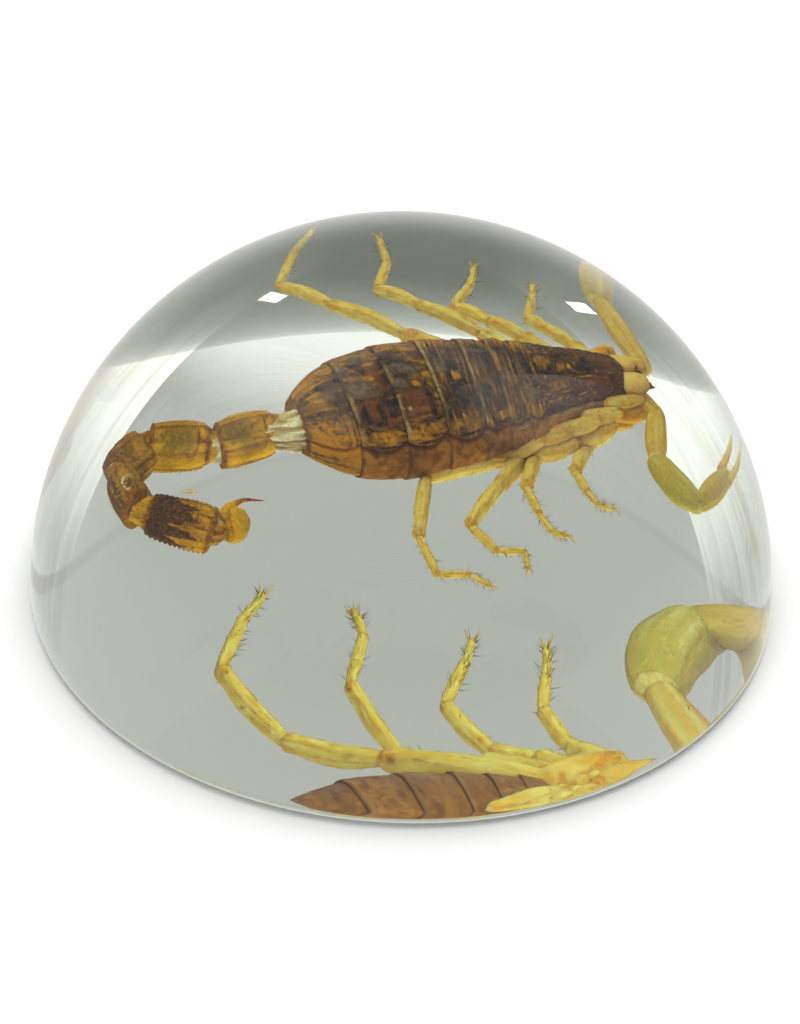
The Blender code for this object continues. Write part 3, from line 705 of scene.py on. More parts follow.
def buildJaws():
    skin = newSkin()
    for side, (end, left, rise) in zip((-1, 1), jaws["sides"]):
        path = [bodyPoint(jaws["start"], left, rise), bodyPoint(end - 1.4, left, rise + 0.05),
                bodyPoint(end - 0.5, left, rise - 0.1), bodyPoint(end, left * 0.95, rise - 0.35)]
        addLimb(skin, path, up, jaws["barrel"], partial(barrelSurface, side), 40, 36)
        for drop, reach, size in jaws["fangs"]:
            fang = [bodyPoint(end - 0.55, left + side * 0.1, rise - 0.15 + drop),
                    bodyPoint(end + 0.05, left * 0.98, rise - 0.2 + drop),
                    bodyPoint(end - 0.25 + reach, left * 0.72, rise - 0.45 + drop)]
            sizes = ((0, size, size), (0.5, size * 0.75, size * 0.8), (1, 0.04, 0.04))
            addLimb(skin, fang, up, sizes,
                    lambda share, angle: (0, (step01(0.15, 0.5, share), 0.6)), 14, 14)
    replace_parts(makePiece("jaws", skin, materials["jaws"], "chitin"), "scorpion")


buildJaws()
print("head made")


# legs: coxa root, trochanter, four joints, and the tip of the foot

legs = {
    "right1": ((13.4, 2.2, 15.6), (13.8, 0.2, 13.8), (12.5, -1.3, 13.6), (11.8, -5.2, 14.2),
               (12.9, -6.9, 13.9), (13.7, -7.8, 13.6), (14.8, -7.6, 13.1)),
    "right2": ((12, 1.2, 15), (10.2, -1.8, 13.4), (8.9, -3.2, 13.8), (8.5, -7.7, 14.6),
               (9.6, -9.8, 14), (10.6, -11.2, 13.6), (11.7, -11, 13.1)),
    "right3": ((11, 0.8, 14.6), (8, -3.7, 13.5), (6.7, -7.9, 14.9), (4.7, -11.9, 14.3),
               (6.8, -13.8, 13.6), (8.8, -13.4, 13.4), (9.2, -15, 13.1)),
    "right4": ((9.4, 0.4, 14.4), (5.8, -4, 13.5), (1.4, -7.7, 15), (1.1, -13.3, 14.2),
               (2.6, -16.9, 13.6), (5, -16.4, 13.4), (6.5, -17.3, 13.1)),
    "left1": ((13.2, 2.9, 15.8), (10.9, 6.2, 15.4), (8.8, 7.5, 15.6), (7.4, 9, 14.6),
              (7.4, 11, 14), (7.4, 12, 13.7), (7.3, 12.8, 13.5)),
    "left2": ((11.8, 2.8, 15.4), (7.4, 6.3, 15.8), (5, 7.3, 16.1), (2.5, 9.4, 14.9),
              (3.4, 11.9, 14), (3.6, 12.9, 13.9), (3.6, 13.6, 13.9)),
    "left3": ((10.2, 2.6, 15), (4.6, 6, 16.1), (0.3, 7.8, 16.9), (-2.3, 10.7, 14.8),
              (-1.7, 13.7, 14), (-2, 14.9, 13.8), (-2.2, 15.7, 14)),
    "left4": ((8.8, 2.4, 14.8), (-0.5, 5.7, 15.9), (-5.4, 8, 16.4), (-8.6, 11.3, 14.5),
              (-7.4, 15, 14.1), (-6.7, 16.2, 14), (-6.5, 16.8, 14)),
}
legParts = {
    "radius": (0.8, 0.72, 0.63, 0.39, 0.29, 0.26), "slender": 0.74,  # far thighs and knees
    "keel": (0.03, 0.05, 0.05, 0.02, 0.01, 0.01),
    "hairs": (1.2, 1.4, 2.2, 6.4, 12, 18),  # for each millimetre
    "steps": (26, 34, 34, 26, 20, 16), "sides": (30, 32, 30, 22, 18, 18),
    "claw": ((0, 0.09, 0.09), (0.4, 0.06, 0.065), (1, 0.015, 0.015)),
}


def legSizes(i):  # the first part is thick at its root, and the thigh is tall
    root, tall = 0.5 if i else 0.8, 1.08 if i == 1 else 1
    return ((0, root * 0.8, root), (0.08, 0.66, 0.74), (0.3, 0.84, tall), (0.6, 0.86, 1.02 * tall),
            (0.86, 0.76, 0.86), (0.95, 0.8, 0.84), (1, 0.5, 0.5))


def legSurface(i, seed, share, angle):
    turn, jointEnd = degrees(angle), 1 if i < 4 else 0.3
    wave = roughRound(angle, 1.2, share * 4 + seed, seed)
    grit = roughRound(angle, 5, share * 26 + seed)
    streak = roughRound(angle, 4, share * 2.5 + seed, seed)  # lines down the leg
    dots = step01(0.36, 0.46, roughRound(angle, 2.6, share * 9 + seed, 30))
    edge = humps(turn, (52, 128, 232, 308), 10)
    spots = hump(share, 0.93, 0.035) * humps(turn, (205, 335, 90), 22)
    spots += hump(share, 0.08, 0.03) * (hump(turn, 130, 20) + hump(turn, 20, 18))
    out = legParts["keel"][i] * edge + 0.05 * wave * legParts["radius"][i]
    dark = 0.8 * jointEnd * spots + edge * plus(grit - 0.1) * 0.9 + 0.35 * dots
    dark += 0.5 * hump(turn, 308, 12) * plus(grit)
    # edge marks the four keels: their amber is partly the keels' own colour, partly painted, the
    # deeper amber a translucent leg shows along its outlines
    amber = 0.5 * edge * (0.7 + 0.5 * wave) + 0.7 * hump(share, 0.97, 0.04) \
        + 0.45 * hump(share, 0.03, 0.05) + 1.1 * plus(streak - 0.05)
    pale = 0.9 * plus(-streak - 0.1) + 0.3 * plus(-wave)
    return out + 0.014 * plus(grit) * edge, (dark, amber, pale, 0.8 * plus(wave - 0.15) * jointEnd)


def addHairs(path, radius, count, long):
    for _ in range(count):
        share = rng.uniform(0.12, 0.98)
        centre, along, side, rise = frameAt(path, share, up)
        angle = rng.uniform(0, tau)
        out = side * cos(angle) + rise * sin(angle)
        addHair(hairs, centre + out * radius * 0.8, out + along * rng.uniform(0.3, 1.1),
                rng.uniform(0.5, 1.1) * long)


def addLeg(skin, name, joints):
    for i, (start, end) in enumerate(zip(joints, joints[1:])):
        length, along = (end - start).length, (end - start).normalized()
        upper = i in (1, 2)  # thigh and knee
        radius = legParts["radius"][i]
        if upper and name.startswith("left"):
            radius *= legParts["slender"]
        lap = min(0.22, radius * 0.4)
        path = [start - along * (lap if i else 0),
                start.lerp(end, 0.5) + (up * 0.06 * length if upper else Vector()),
                end + along * lap * 0.6]
        if name == "right4" and i == 1:  # this thigh stands clear of the belly
            path[0] += Vector((0, -0.35, 0.3))
            path[1] += Vector((0, -0.55, 0.45))
        addLimb(skin, path, up, scaled(legSizes(i), radius, radius),
                partial(legSurface, i, i * 3.1 + len(skin["points"]) * 0.013),
                legParts["steps"][i], legParts["sides"][i])
        if i:  # soft joint between two parts
            size = min(radius, legParts["radius"][i - 1]) * 0.66
            addBall(skin, start, (size,) * 3, (0.1, 0.4, 0.2, 0.2), along, 9, 16)
        addHairs(path, radius, int(legParts["hairs"][i] * length), 0.42 if i < 3 else 0.55)
    tip = joints[-1]
    forward = (tip - joints[-2]).normalized()
    for turn in (-0.47, 0.47):  # two slender curved claws
        reach = Matrix.Rotation(turn, 3, "Z") @ forward
        claw = [tip - forward * 0.2, tip + reach * 0.25 + up * 0.06, tip + reach * 0.52,
                tip + reach * 0.75 - up * 0.2]
        addLimb(skin, claw, up, legParts["claw"], lambda share, angle: (0, (0.35 * share, 0.6)),
                12, 10)


def buildLegs():
    for side in ("right", "left"):
        skin = newSkin()
        for name, joints in legs.items():
            if name.startswith(side):
                addLeg(skin, name, [Vector(j) for j in joints])
        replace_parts(makePiece(side + "Legs", skin, materials["legs"], "chitin"), "scorpion")


hairs, rng = newSkin(), random.Random(7)
buildLegs()
print("legs made")


# arms: root, trochanter, elbow, wrist, finger root, then the two fingers of each pincer

arms = {
    "right": (((14.6, 2.6, 16), (17.5, 1.3, 14.8), (18.2, -3.9, 14.7), (22.9, -7.9, 14.7),
               (25.4, -3.6, 14.6)),
              ((24.6, -3.2, 14.6), (25.6, -0.2, 14.6), (26.1, 2.3, 14.6)),
              ((25.8, -4.5, 14.6), (27.3, -1.1, 14.6), (28.1, 2.3, 14.6))),
    "left": (((13.8, 3.4, 16.2), (16.5, 4.7, 16.3), (12, 12, 14.6), (12.3, 16.9, 14.4),
              (16.6, 16.6, 14.5)),
             ((16.4, 16.1, 14.5), (19.4, 14.6, 14.4), (21, 12, 14.3)),
             ((16.9, 17, 14.5), (20.3, 15.9, 14.5), (22.6, 12.6, 14.3))),
}
armParts = {
    "parts": (  # radius, keel height, olive tone, bulge, steps, sides
        (0.95, 0.05, 0, 0.1, 30, 36), (0.92, 0.09, 0.2, 0.1, 48, 40),
        (1.25, 0.08, 1, 0.32, 52, 44)),
    "keels": (38, 90, 142, 218, 270, 322), "palmKeels": (20, 65, 115, 160, 205, 245, 295, 340),
    "shape": ((0, 0.6, 0.6), (0.08, 0.82, 0.8), (0.35, 0.98, 0.92), (0.62, 1, 0.94),
              (0.88, 0.74, 0.78), (0.96, 0.62, 0.7), (1, 0.4, 0.45)),
    "palm": ((0, 0.42, 0.42), (0.14, 0.8, 0.75), (0.42, 1.16, 1.02), (0.72, 1.05, 0.95),
             (0.92, 0.72, 0.7), (1, 0.4, 0.4)),
    "finger": ((0, 0.46, 0.44), (0.3, 0.4, 0.36), (0.7, 0.27, 0.27), (1, 0.07, 0.07)),
}


def armSurface(keel, olive, seed, share, angle):
    wave = roughRound(angle, 1, share * 3 + seed, seed)
    grit = roughRound(angle, 4, share * 40 + seed)
    streak = roughRound(angle, 3.5, share * 2 + seed)
    edge = humps(degrees(angle), armParts["keels"], 6)
    out = keel * edge * sin(pi * share) ** 0.5 + 0.05 * wave + 0.02 * edge * grit
    dark = edge * (0.22 + 0.5 * plus(grit)) + 0.35 * hump(share, 0.97, 0.03)
    dark += 0.22 * step01(0.3, 0.5, roughRound(angle, 3, share * 9 + seed, 9))
    amber = 0.55 * edge + 0.6 * hump(share, 0.95, 0.06) + 0.5 * hump(share, 0.04, 0.06) \
        + 0.7 * plus(wave) + 0.8 * plus(streak) + 0.12
    return out, (dark, amber, 0.5 * plus(-streak - 0.1), 0.7 * plus(-wave), olive)


def palmSurface(share, angle):
    wave = roughRound(angle, 1, share * 3, 31)
    edge = humps(degrees(angle), armParts["palmKeels"], 7)
    return 0.045 * edge + 0.05 * wave, (0.28 * edge + 0.3 * hump(share, 0.02, 0.04),
                                        0.5 + 0.5 * wave, 0, 0, 0.6)


def fingerSurface(n, share, angle):
    tooth = 0.03 * sin(share * 95) * hump(degrees(angle), 180 * n, 40)
    return tooth, (0.35 * hump(share, 0.05, 0.05) + 0.3 * step01(0.9, 1, share),
                   0.35 - 0.3 * share, 0.35 * share)


def buildArms():
    for side, (joints, *fingers) in arms.items():
        skin = newSkin()
        joints = [Vector(j) for j in joints]
        for i, (radius, keel, olive, bulge, steps, sides) in enumerate(armParts["parts"]):
            start, end = joints[i], joints[i + 1]
            along = (end - start).normalized()
            bulge = along.cross(up) * bulge * (1 if side == "right" else -1)
            path = [start - along * (0.3 if i else 0), start.lerp(end, 0.5) + bulge,
                    end + along * 0.25]
            addLimb(skin, path, up, scaled(armParts["shape"], radius, radius),
                    partial(armSurface, keel, olive, i * 5 + len(side)), steps, sides)
            if i:
                addBall(skin, start, (radius * 0.7,) * 3, (0.05, 0.4, 0.35, 0.3), along, 11, 20, 0.05)
            addHairs(path, radius, 10, 0.4)
        wrist, root = joints[3:]
        along = (root - wrist).normalized()
        addBall(skin, wrist, (0.6,) * 3, (0.1, 0.4, 0.3, 0.3), along, 11, 20, 0.05)
        addLimb(skin, [wrist - along * 0.35, wrist.lerp(root, 0.5), root + along * 0.75], up,
                armParts["palm"], palmSurface, 46, 48)
        for n, finger in enumerate(fingers):
            addLimb(skin, finger, up, armParts["finger"], partial(fingerSurface, n), 50, 22)
        addHairs([wrist, root], 1.1, 14, 0.4)
        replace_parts(makePiece(side + "Arm", skin, materials["legs"], "chitin"), "scorpion")


buildArms()
print("arms made")


# underside of the head: the pale hip plates between the shield and the legs

hips = {
    "floor": ((15.6, 0, -1), (19, 0.1, -0.8), (23.4, 0.25, -0.45)),
    "floorSizes": ((0, 2.5, 1.1), (0.3, 2.9, 1.2), (0.6, 2.4, 1.15), (1, 1.2, 0.7)),
    "plates": (  # from the body, to a leg's root, and their half width
        ((16, -2.4, -1.9), (13.6, 0.9, 14), 1.15), ((17.8, -2.2, -1.7), (15.6, 1, 14.2), 1.1),
        ((19.6, -1.9, -1.5), (16.9, 1.9, 14.4), 1.05), ((21.6, -1.5, -1.1), (17.6, 1.6, 14.8), 1),
        ((17, 2.4, -1.7), (11.6, 5.9, 15.2), 1), ((20, 2, -1.4), (13.6, 6.4, 15.6), 1)),
    "plateShape": ((0, 0.7, 0.5), (0.3, 1, 0.75), (0.7, 0.85, 0.7), (0.93, 0.62, 0.6),
                   (1, 0.4, 0.35)),
    "pads": (  # outer plates on the near side: rear, middle and front point, half width and depth
        ((13, -3.4, -2.4), (15.4, -4.2, -1.6), (17.6, -4.15, -0.7), 0.72, 0.3),
        ((16.4, -3.8, -1), (18.25, -3.95, -0.8), (20.1, -3.6, -0.6), 0.74, 0.26),
        ((18.5, -3.6, -0.75), (20.3, -3.65, -0.65), (22.2, -3.1, -0.45), 0.64, 0.24),
        ((20.6, -3, -0.35), (22.2, -2.95, -0.5), (24, -2.3, -0.8), 0.66, 0.24),
        ((20, -3.5, -1.7), (21.6, -3.5, -1.6), (23.2, -2.9, -1.3), 0.78, 0.32),
        ((16.4, -4.1, -2), (18.1, -4.3, -1.95), (20.2, -3.9, -1.6), 0.8, 0.38),
        ((22.6, -2.1, -0.1), (24.4, -1.75, -0.4), (26.2, -1.1, -0.75), 0.54, 0.26)),
    "padBack": Vector((0.25, -0.75, 0.6)),
    "padShape": ((0, 0.5, 0.3), (0.08, 0.82, 0.7), (0.35, 1, 1), (0.65, 0.96, 1),
                 (0.9, 0.74, 0.8), (1, 0.42, 0.4)),
}


def hipSurface(share, angle):
    wave = roughRound(angle, 2, share * 5, 11)
    band = hump(degrees(angle) % 360, 180, 40)
    return 0.1 * wave, (0.35 * plus(wave), 0.6 + 0.5 * wave, 0.3 * plus(-wave),
                         0.35 * band + 0.4 * hump(share, 0.62, 0.03))


def hipPlateSurface(n, share, angle):
    wave = roughRound(angle, 1.5, share * 3, n * 7)
    border = hump(share, 0.9, 0.05) + hump(share, 0.12, 0.04)
    ring = hump(hypot((share - 0.5) * 3, cos(angle)), 0.95, 0.12)
    return 0.05 * wave - 0.03 * ring, (0.45 * border * plus(0.5 + wave),
                                       0.6 + 0.5 * wave + 0.5 * ring, 0.3 * plus(-wave),
                                       0.5 * ring)


def padSurface(n, share, angle):
    wave = roughRound(angle, 1.5, share * 3 + n * 5)
    grit = roughRound(angle, 5, share * 16 + n)
    edge = hump(abs(cos(angle)), 1, 0.09) + humps(share, (0.05, 0.95), 0.03)
    ring = hump(hypot((share - 0.5) * 2.2, cos(angle)), 0.66, 0.06) * (n == 1)
    line = hump(rough(share * 2 + n, cos(angle) * 1.2, n * 3), 0, 0.04)
    keel = hump(cos(angle), 0.3 + 0.5 * wave, 0.14)
    return 0.05 * wave + 0.01 * grit + 0.04 * ring - 0.04 * line + 0.09 * keel, (
        0.5 * edge * plus(0.3 + wave) + 0.9 * plus(grit - 0.2) + 0.15 * line,
        0.18 + 0.6 * edge + 0.4 * keel + 0.6 * plus(wave) + 0.6 * ring + 0.3 * line,
        0.35 * plus(-wave) * (1 - min(1, edge)), 0.4 * ring + 0.35 * edge)


def buildHips():
    skin = newSkin()
    addLimb(skin, [bodyPoint(*p) for p in hips["floor"]], up, hips["floorSizes"], hipSurface,
            60, 60)
    for n, (inner, outer, width) in enumerate(hips["plates"]):
        inner, outer = bodyPoint(*inner), Vector(outer)
        addLimb(skin, [inner, inner.lerp(outer, 0.5) - up * 0.15, outer], up,
                scaled(hips["plateShape"], width, 1), partial(hipPlateSurface, n), 36, 40)
    for n, (*path, width, thick) in enumerate(hips["pads"]):
        addLimb(skin, [bodyPoint(*p) for p in path], hips["padBack"],
                scaled(hips["padShape"], width, thick), partial(padSurface, n), 60, 64)
    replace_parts(makePiece("hipPlates", skin, materials["legs"], "chitin"), "scorpion")


buildHips()


# tail: joints, the side that is each segment's back, and each segment's width and height

tail = {
    "joints": ((-8.9, -5.1, 16.9), (-13.7, -6.2, 16.2), (-19.4, -5.6, 15.8), (-22.7, -8.3, 15.6),
               (-20.9, -12.6, 15.4), (-14.2, -14.5, 14.9)),
    "backs": ((0, -0.5, 0.9), (0, -0.5, 0.9), (0.4, 0, 1), (0.9, 0.3, 0.7), (0.3, 1, 0.25)),
    "sizes": ((3.7, 3.2), (3.8, 3.2), (4.4, 3.4), (4.4, 3.4), (3.3, 3.1)),
    "soft": (0.68, 0.68, 0.52, 0.52, 0.52),  # thickness of the soft skin before each segment
    "softShape": ((0, 1, 0.95), (1, 0.92, 0.88)),
    "shape": ((0.05, 0.64), (0.13, 0.82), (0.32, 0.95), (0.6, 1), (0.82, 0.97), (0.92, 0.92),
              (0.975, 0.93), (1, 0.7)),
    "corners": ((0.5, 0), (0.47, 0.34), (0.3, 0.49), (0, 0.4), (-0.3, 0.49), (-0.47, 0.34),
                (-0.5, 0), (-0.42, -0.36), (-0.16, -0.49), (0.16, -0.49), (0.42, -0.36)),
    "lead": 0.6325, "steps": 96, "sides": 96,
}


def tailOutline(angle):  # smooth closed curve through the corners
    corners = [Vector(c) for c in tail["corners"]]
    x = angle / tau * len(corners)
    i = int(x)
    place = between(*(corners[(i + k) % len(corners)] for k in (-1, 0, 1, 2)), x - i)
    return place.x * 2, place.y * 2


def tailSurface(n, share, angle):
    keels = (0, 2, 4, 6, 7, 10) if n < 2 else (0, 1, 2, 4, 5, 6, 7, 10)
    x = angle / tau * 11  # counted in corners; the middle of the back is at 3
    near = min(keels, key=lambda k: min(abs(x - k), 11 - abs(x - k)))
    away = min(abs(x - near), 11 - abs(x - near))
    middle = step01(0.16, 0.24, share) * (1 - step01(0.93, 0.99, share))
    beads = 0.5 + 0.5 * cos(share * tau * 17)
    wave = roughRound(angle, 1.3, share * 3 + n * 5)
    grit = roughRound(angle, 7, share * 20 + n)
    streak = roughRound(angle, 5, share * 2.5 + n * 3)
    ridge = hump(away, 0, 0.13)
    tooth = (0.16 if n == 4 and near in (7, 10) else 0.07) * beads
    out = middle * ridge * (0.07 + tooth) + 0.09 * wave + 0.02 * grit
    out -= 0.12 * hump(share, 0.2, 0.035) + 0.1 * hump(x, 3, 0.25) * middle
    if n >= 2:
        out -= middle * 0.12 * humps(x, (1.5, 4.5, 0.5, 5.5), 0.3) * sin(pi * share)
    ends = hump(share, 0.19, 0.025) + hump(share, 0.97, 0.04)
    marks = {
        "dark": 0.9 * hump(away, 0, 0.06) * middle * (0.4 + 0.9 * beads) + 0.9 * plus(grit - 0.1)
        + 0.5 * plus(-wave - 0.1),
        "amber": 1.1 * plus(wave) + 0.8 * plus(streak) + 0.7 * plus(-grit - 0.15), "pale": 0,
        "red": 0.9 * ends + 0.7 * ridge * middle + 0.7 * plus(-streak - 0.1), "grey": 0,
    }
    if n < 2:
        out += foldedBack(marks, n, share, x, middle, wave, streak)
    elif n < 4:
        marks["grey"] = middle * hump(x, 3, 1.4) * plus(0.2 - wave)
        marks["dark"] += 0.22 + 0.3 * plus(-wave)
        marks["dark"] += 0.45 * step01(0.45, 0.65, share) - 0.15 if n == 2 else 0
        marks["red"] = max(marks["red"], 0.35 + 0.5 * plus(streak))
        for at in (9.25, 9.85, 10.4) if n == 3 else (7.1, 8.3):
            marks["dark"] += 1.5 * middle * hump(x, at + 0.2 * wave, 0.17) \
                * step01(-0.3, 0.1, streak + 0.5 * grit + 0.25)
        marks["amber"] += 0.5 * hump(share, 0.9, 0.08) * hump(x, 4.6, 0.7)
    else:  # the last segment is nearly black, with a ragged golden end
        reach = 0.66 + 0.1 * sin(x * 5) + 0.25 * streak
        core = step01(0.19, 0.23, share) * (1 - step01(reach - 0.05, reach + 0.05, share))
        marks["dark"] += core * (1.9 + 0.9 * grit)
        marks["red"] = max(marks["red"] * (1 - 0.8 * core), 0.6 * hump(share, reach + 0.1, 0.08),
                           core * (0.1 + 0.9 * grit))
        marks["amber"] += 0.3 * (1 - core)
    if n == 3:  # a round pale-rimmed spot
        patch = hypot((share - 0.64) / 0.15, (x - 0.5) / 0.5) + 0.3 * grit
        marks["pale"] = 1.1 * hump(patch, 1, 0.13) * step01(-0.2, 0.3, wave + 0.2)
        marks["dark"] += 0.5 * (1 - step01(0.7, 0.95, patch))
    return out, tuple(marks.values())


def foldedBack(marks, n, share, x, middle, wave, streak):  # relief of the first two backs
    bow = 0.3 + 0.03 * (x - 3) ** 2  # raised fold across the near end of the back
    fold = hump(share, bow, 0.018) * hump(x, 3, 1.4)
    gap = hump(x, 3, 0.16) * (1 - step01(bow - 0.02, bow + 0.02, share))
    bulge = step01(0.16, 0.2, share) * (1 - step01(bow - 0.03, bow, share)) \
        * hump(x, 3, 1.3) * (1 - gap)
    out = 0.12 * fold + 0.16 * bulge - 0.12 * gap
    marks["red"] = max(marks["red"], 0.9 * fold + 0.7 * gap)
    marks["amber"] += 1.1 * bulge + 1.2 * middle * hump(x, 5.1, 0.75) * (0.8 + wave)
    smudge = hump(share, 0.74 + 0.08 * wave, 0.12) * hump(x, 2.7, 0.6) \
        + 0.8 * hump(share, 0.24, 0.05) * hump(x, 3, 0.35)
    marks["dark"] = 0.7 * marks["dark"] + 0.45 * smudge + 0.5 * hump(x, 3, 0.07) * middle
    marks["grey"] = middle * hump(x, 3, 1.3) * (1 - bulge) * plus(0.1 - 1.2 * wave)
    if n == 1:  # broad olive smudge down the middle of the back
        olive = step01(0.3, 0.42, share) * (1 - step01(0.72, 0.84, share + 0.1 * wave))
        olive *= hump(x, 3.1, 1.25)
        marks["grey"] = max(marks["grey"], 0.75 * olive)
        marks["dark"] += 0.3 * olive * (0.6 + streak)
    else:  # forked folds down the first segment
        spread = plus(0.75 - share)
        fork = hump(x, 3 + 1.5 * spread, 0.12) + hump(x, 3 - 1.7 * spread, 0.12)
        out += 0.1 * fork * middle
        marks["dark"] += 0.4 * fork * middle
    return out


def softSurface(share, angle):
    pleat = rough(cos(angle) * 6, sin(angle) * 6, share * 2 + 40)
    return 0.12 * pleat, (0.3 * plus(-pleat), 0.45, 0.25 + 0.6 * pleat)


def buildTail():
    skin, lead = newSkin(), tail["lead"]
    joints = [Vector(j) for j in tail["joints"]]
    for n, (start, end) in enumerate(zip(joints, joints[1:])):
        along, length = (end - start).normalized(), (end - start).length
        width, height = (size * 0.5 for size in tail["sizes"][n])
        back = Vector(tail["backs"][n])
        begin = lead / (length + lead)
        sizes = [(0, 0.5, 0.5), (begin * 0.75, 0.56, 0.56)]
        sizes += [(begin + (1 - begin) * share, k, k) for share, k in tail["shape"]]
        addLimb(skin, [start - along * lead, start.lerp(end, 0.5), end], back,
                scaled(sizes, width, height), partial(tailSurface, n), tail["steps"],
                tail["sides"], tailOutline)
        thick = tail["soft"][n]
        addLimb(softs, [start - along * 0.6, start, start + along * 0.4], back,
                scaled(tail["softShape"], width * thick, height * thick), softSurface, 16, 72)
        addHairs([start.lerp(end, 0.2), end], min(width, height), 5, 0.4)
    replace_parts(makePiece("tailSegments", skin, materials["tail"], "chitin"), "scorpion")


softs = newSkin()
buildTail()


# bulb and sting

sting = {
    "bulb": Vector((-12.55, -13.6, 14.9)), "radii": (1.25, 1.5, 1.3),
    "path": ((-13.4, -12.9, 15.1), (-13, -12.05, 15.2), (-12.4, -11.5, 15.2),
             (-11.6, -11.15, 15.3), (-10.2, -11.15, 15.25)),
    "sizes": ((0, 0.5, 0.5), (0.25, 0.4, 0.4), (0.5, 0.25, 0.25), (0.75, 0.14, 0.14),
              (1, 0.03, 0.03)),
    "stalk": ((0, 1, 1), (0.45, 0.98, 0.98), (0.7, 0.8, 0.8), (1, 0.7, 0.7)),
}


def bulbPoint(x, y, z):  # a point of the bulb in a direction, and its marks
    wave = rough(x * 2, y * 2, z * 2 + 5)
    crease = 0.5 - abs(rough(x * 3, y * 3, z * 3 + 15))
    grit = rough(x * 7, y * 7, z * 7 + 25)
    reach = 1 + 0.05 * wave + 0.03 * crease
    toTail = step01(0.4, 1, -x * 0.8 - y * 0.45)
    line = hump(x - 0.35 * y * y, -0.45, 0.05) + hump(crease, 0.5, 0.03)
    a, b, c = sting["radii"]
    return sting["bulb"] + Vector((x * a, y * b, z * c)) * reach, (
        0.35 * toTail + 0.25 * line + 0.4 * plus(grit - 0.1), 0.5 + 0.8 * wave, 0,
        0.7 * toTail + 0.6 * line * plus(0.5 - x), 0.5 * hump(y, -0.2, 0.5) * plus(0.4 - wave))


def stalkSurface(share, angle):
    crinkle = rough(cos(angle) * 3, sin(angle) * 3, share * 5 + 60)
    return 0.22 * crinkle, (0.7 * plus(crinkle), 0.6, plus(-crinkle) * 0.6, 0.6 + 0.5 * crinkle)


def buildSting():
    skin = newSkin()
    tilts = [pi * (row + 0.3) / 53.6 for row in range(54)]
    turns = [tau * k / 72 for k in range(72)]
    addRings(skin, [[bulbPoint(cos(turn) * sin(tilt), sin(turn) * sin(tilt), cos(tilt))
                     for turn in turns] for tilt in tilts])
    addLimb(skin, sting["path"], up, sting["sizes"],
            lambda share, angle: (0, (step01(0.4, 0.62, share), 0.8)), 60, 24)
    before, end = (Vector(j) for j in tail["joints"][-2:])
    addLimb(skin, [end.lerp(before, 0.12), end, sting["bulb"]], up, sting["stalk"], stalkSurface,
            30, 48)
    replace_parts(makePiece("sting", skin, materials["sting"], "chitin"), "scorpion")


buildSting()


# dried strands of skin between the trunk and the tail, and the loose flake

strands = {
    "tailEnd": Vector((-9.6, -5.25, 16.75)),
    "sizes": ((0, 2, 1.3), (0.5, 1.75, 1.2), (1, 1.35, 1.05)),
}


def strandSurface(share, angle):
    x, z = cos(angle), sin(angle)
    pleat = rough(x * 4.5 + share, z * 4.5, share * 3 + 90)
    tear = rough(x * 11, z * 11 + share * 2, share * 4 + 95)
    crease = hump(pleat, 0, 0.06) + 0.7 * hump(tear, 0.05, 0.05)
    return 0.42 * pleat + 0.16 * tear - 0.06 * crease, (
        0.9 * crease * plus(0.5 + tear) + 0.6 * plus(-pleat - 0.15), 0.45 + 1.2 * tear,
        0.1 + 1.5 * plus(pleat))


def buildSkinStrands():
    path = [bodyPoint(1.6, 0, 0.1), bodyPoint(0.2, -0.05, 0.05), strands["tailEnd"]]
    addLimb(softs, path, up, strands["sizes"], strandSurface, 50, 140)
    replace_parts(makePiece("skinStrands", softs, materials["skin"], "chitin"), "scorpion")


def buildFlake():  # fills the box of the solid flake
    skin, rings = newSkin(), []
    low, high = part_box("loose_flake")
    centre, size = (low + high) * 0.5 / mm, (high - low) * 0.5 / mm
    for row in range(25):
        x = -1 + 2 * row / 24
        ring = []
        for k in range(28):
            angle = tau * k / 28
            y = cos(angle) * (1 - 0.75 * x * x) * (0.9 + 0.2 * rough(x * 4, angle))
            z = 0.32 * sin(angle) + 0.5 * (0.6 - x * x) + 0.25 * rough(x * 3, y * 2, 7)
            ring.append((centre + Vector((x * size.x, y * size.y, z * size.z)),
                         (0.8 * hump(y, -0.8, 0.2), 0.6 * hump(y, -0.6, 0.3), 0.4)))
        rings.append(ring)
    addRings(skin, rings)
    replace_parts(makePiece("looseFlake", skin, materials["skin"], "dry_skin"), "loose_flake")


buildSkinStrands()
buildFlake()
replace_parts(makePiece("bristles", hairs, materials["hair"], "chitin"), "scorpion")
print("tail, sting and skin made")


# floor, lights and camera

stage = {  # lengths in metres here, angles in degrees
    "floor": (224, 226, 227), "floorHalf": 3, "floorDrop": 0.00005,
    # brightness of the tent
    "room": 0.51, "strip": 1.1, "front": 0.6, "sides": (0.45, 1.4), "below": 0.95,
    "wallEdges": (54, -46),  # where the grey back wall ends, in degrees round
    "softboxes": (  # name, place, size, watts
        ("softbox over", (0, 0, 0.7), 0.6, 4), ("softbox front", (-0.4, -0.6, 0.6), 0.5, 1.6),
        ("softbox back", (0.3, 0.6, 0.6), 0.5, 1.6)),
    "glints": (("left glint", (-0.43, 0.75, 0.5)), ("right glint", (0.46, 0.82, 0.34))),
    "glintAim": (0, 0, 0.02), "glintSize": (0.05, 0.11), "glintWatts": 0.25,
    "specimenLamps": (
        ("specimen over", (-0.1, -0.06, 0.24), 0.16, 0.7),
        ("specimen back", (0.12, 0.2, 0.16), 0.12, 0.42),
        ("specimen under", (0.05, -0.1, -0.16), 0.16, 1.12)),
    "specimenAim": (0, 0, 0.015), "specimenTint": (1, 0.96, 0.84),
    # the camera
    "lens": 105.4, "distance": 0.268, "rise": 36, "roll": 2.5, "aim": (-0.00037, 0, 0.00774),
}


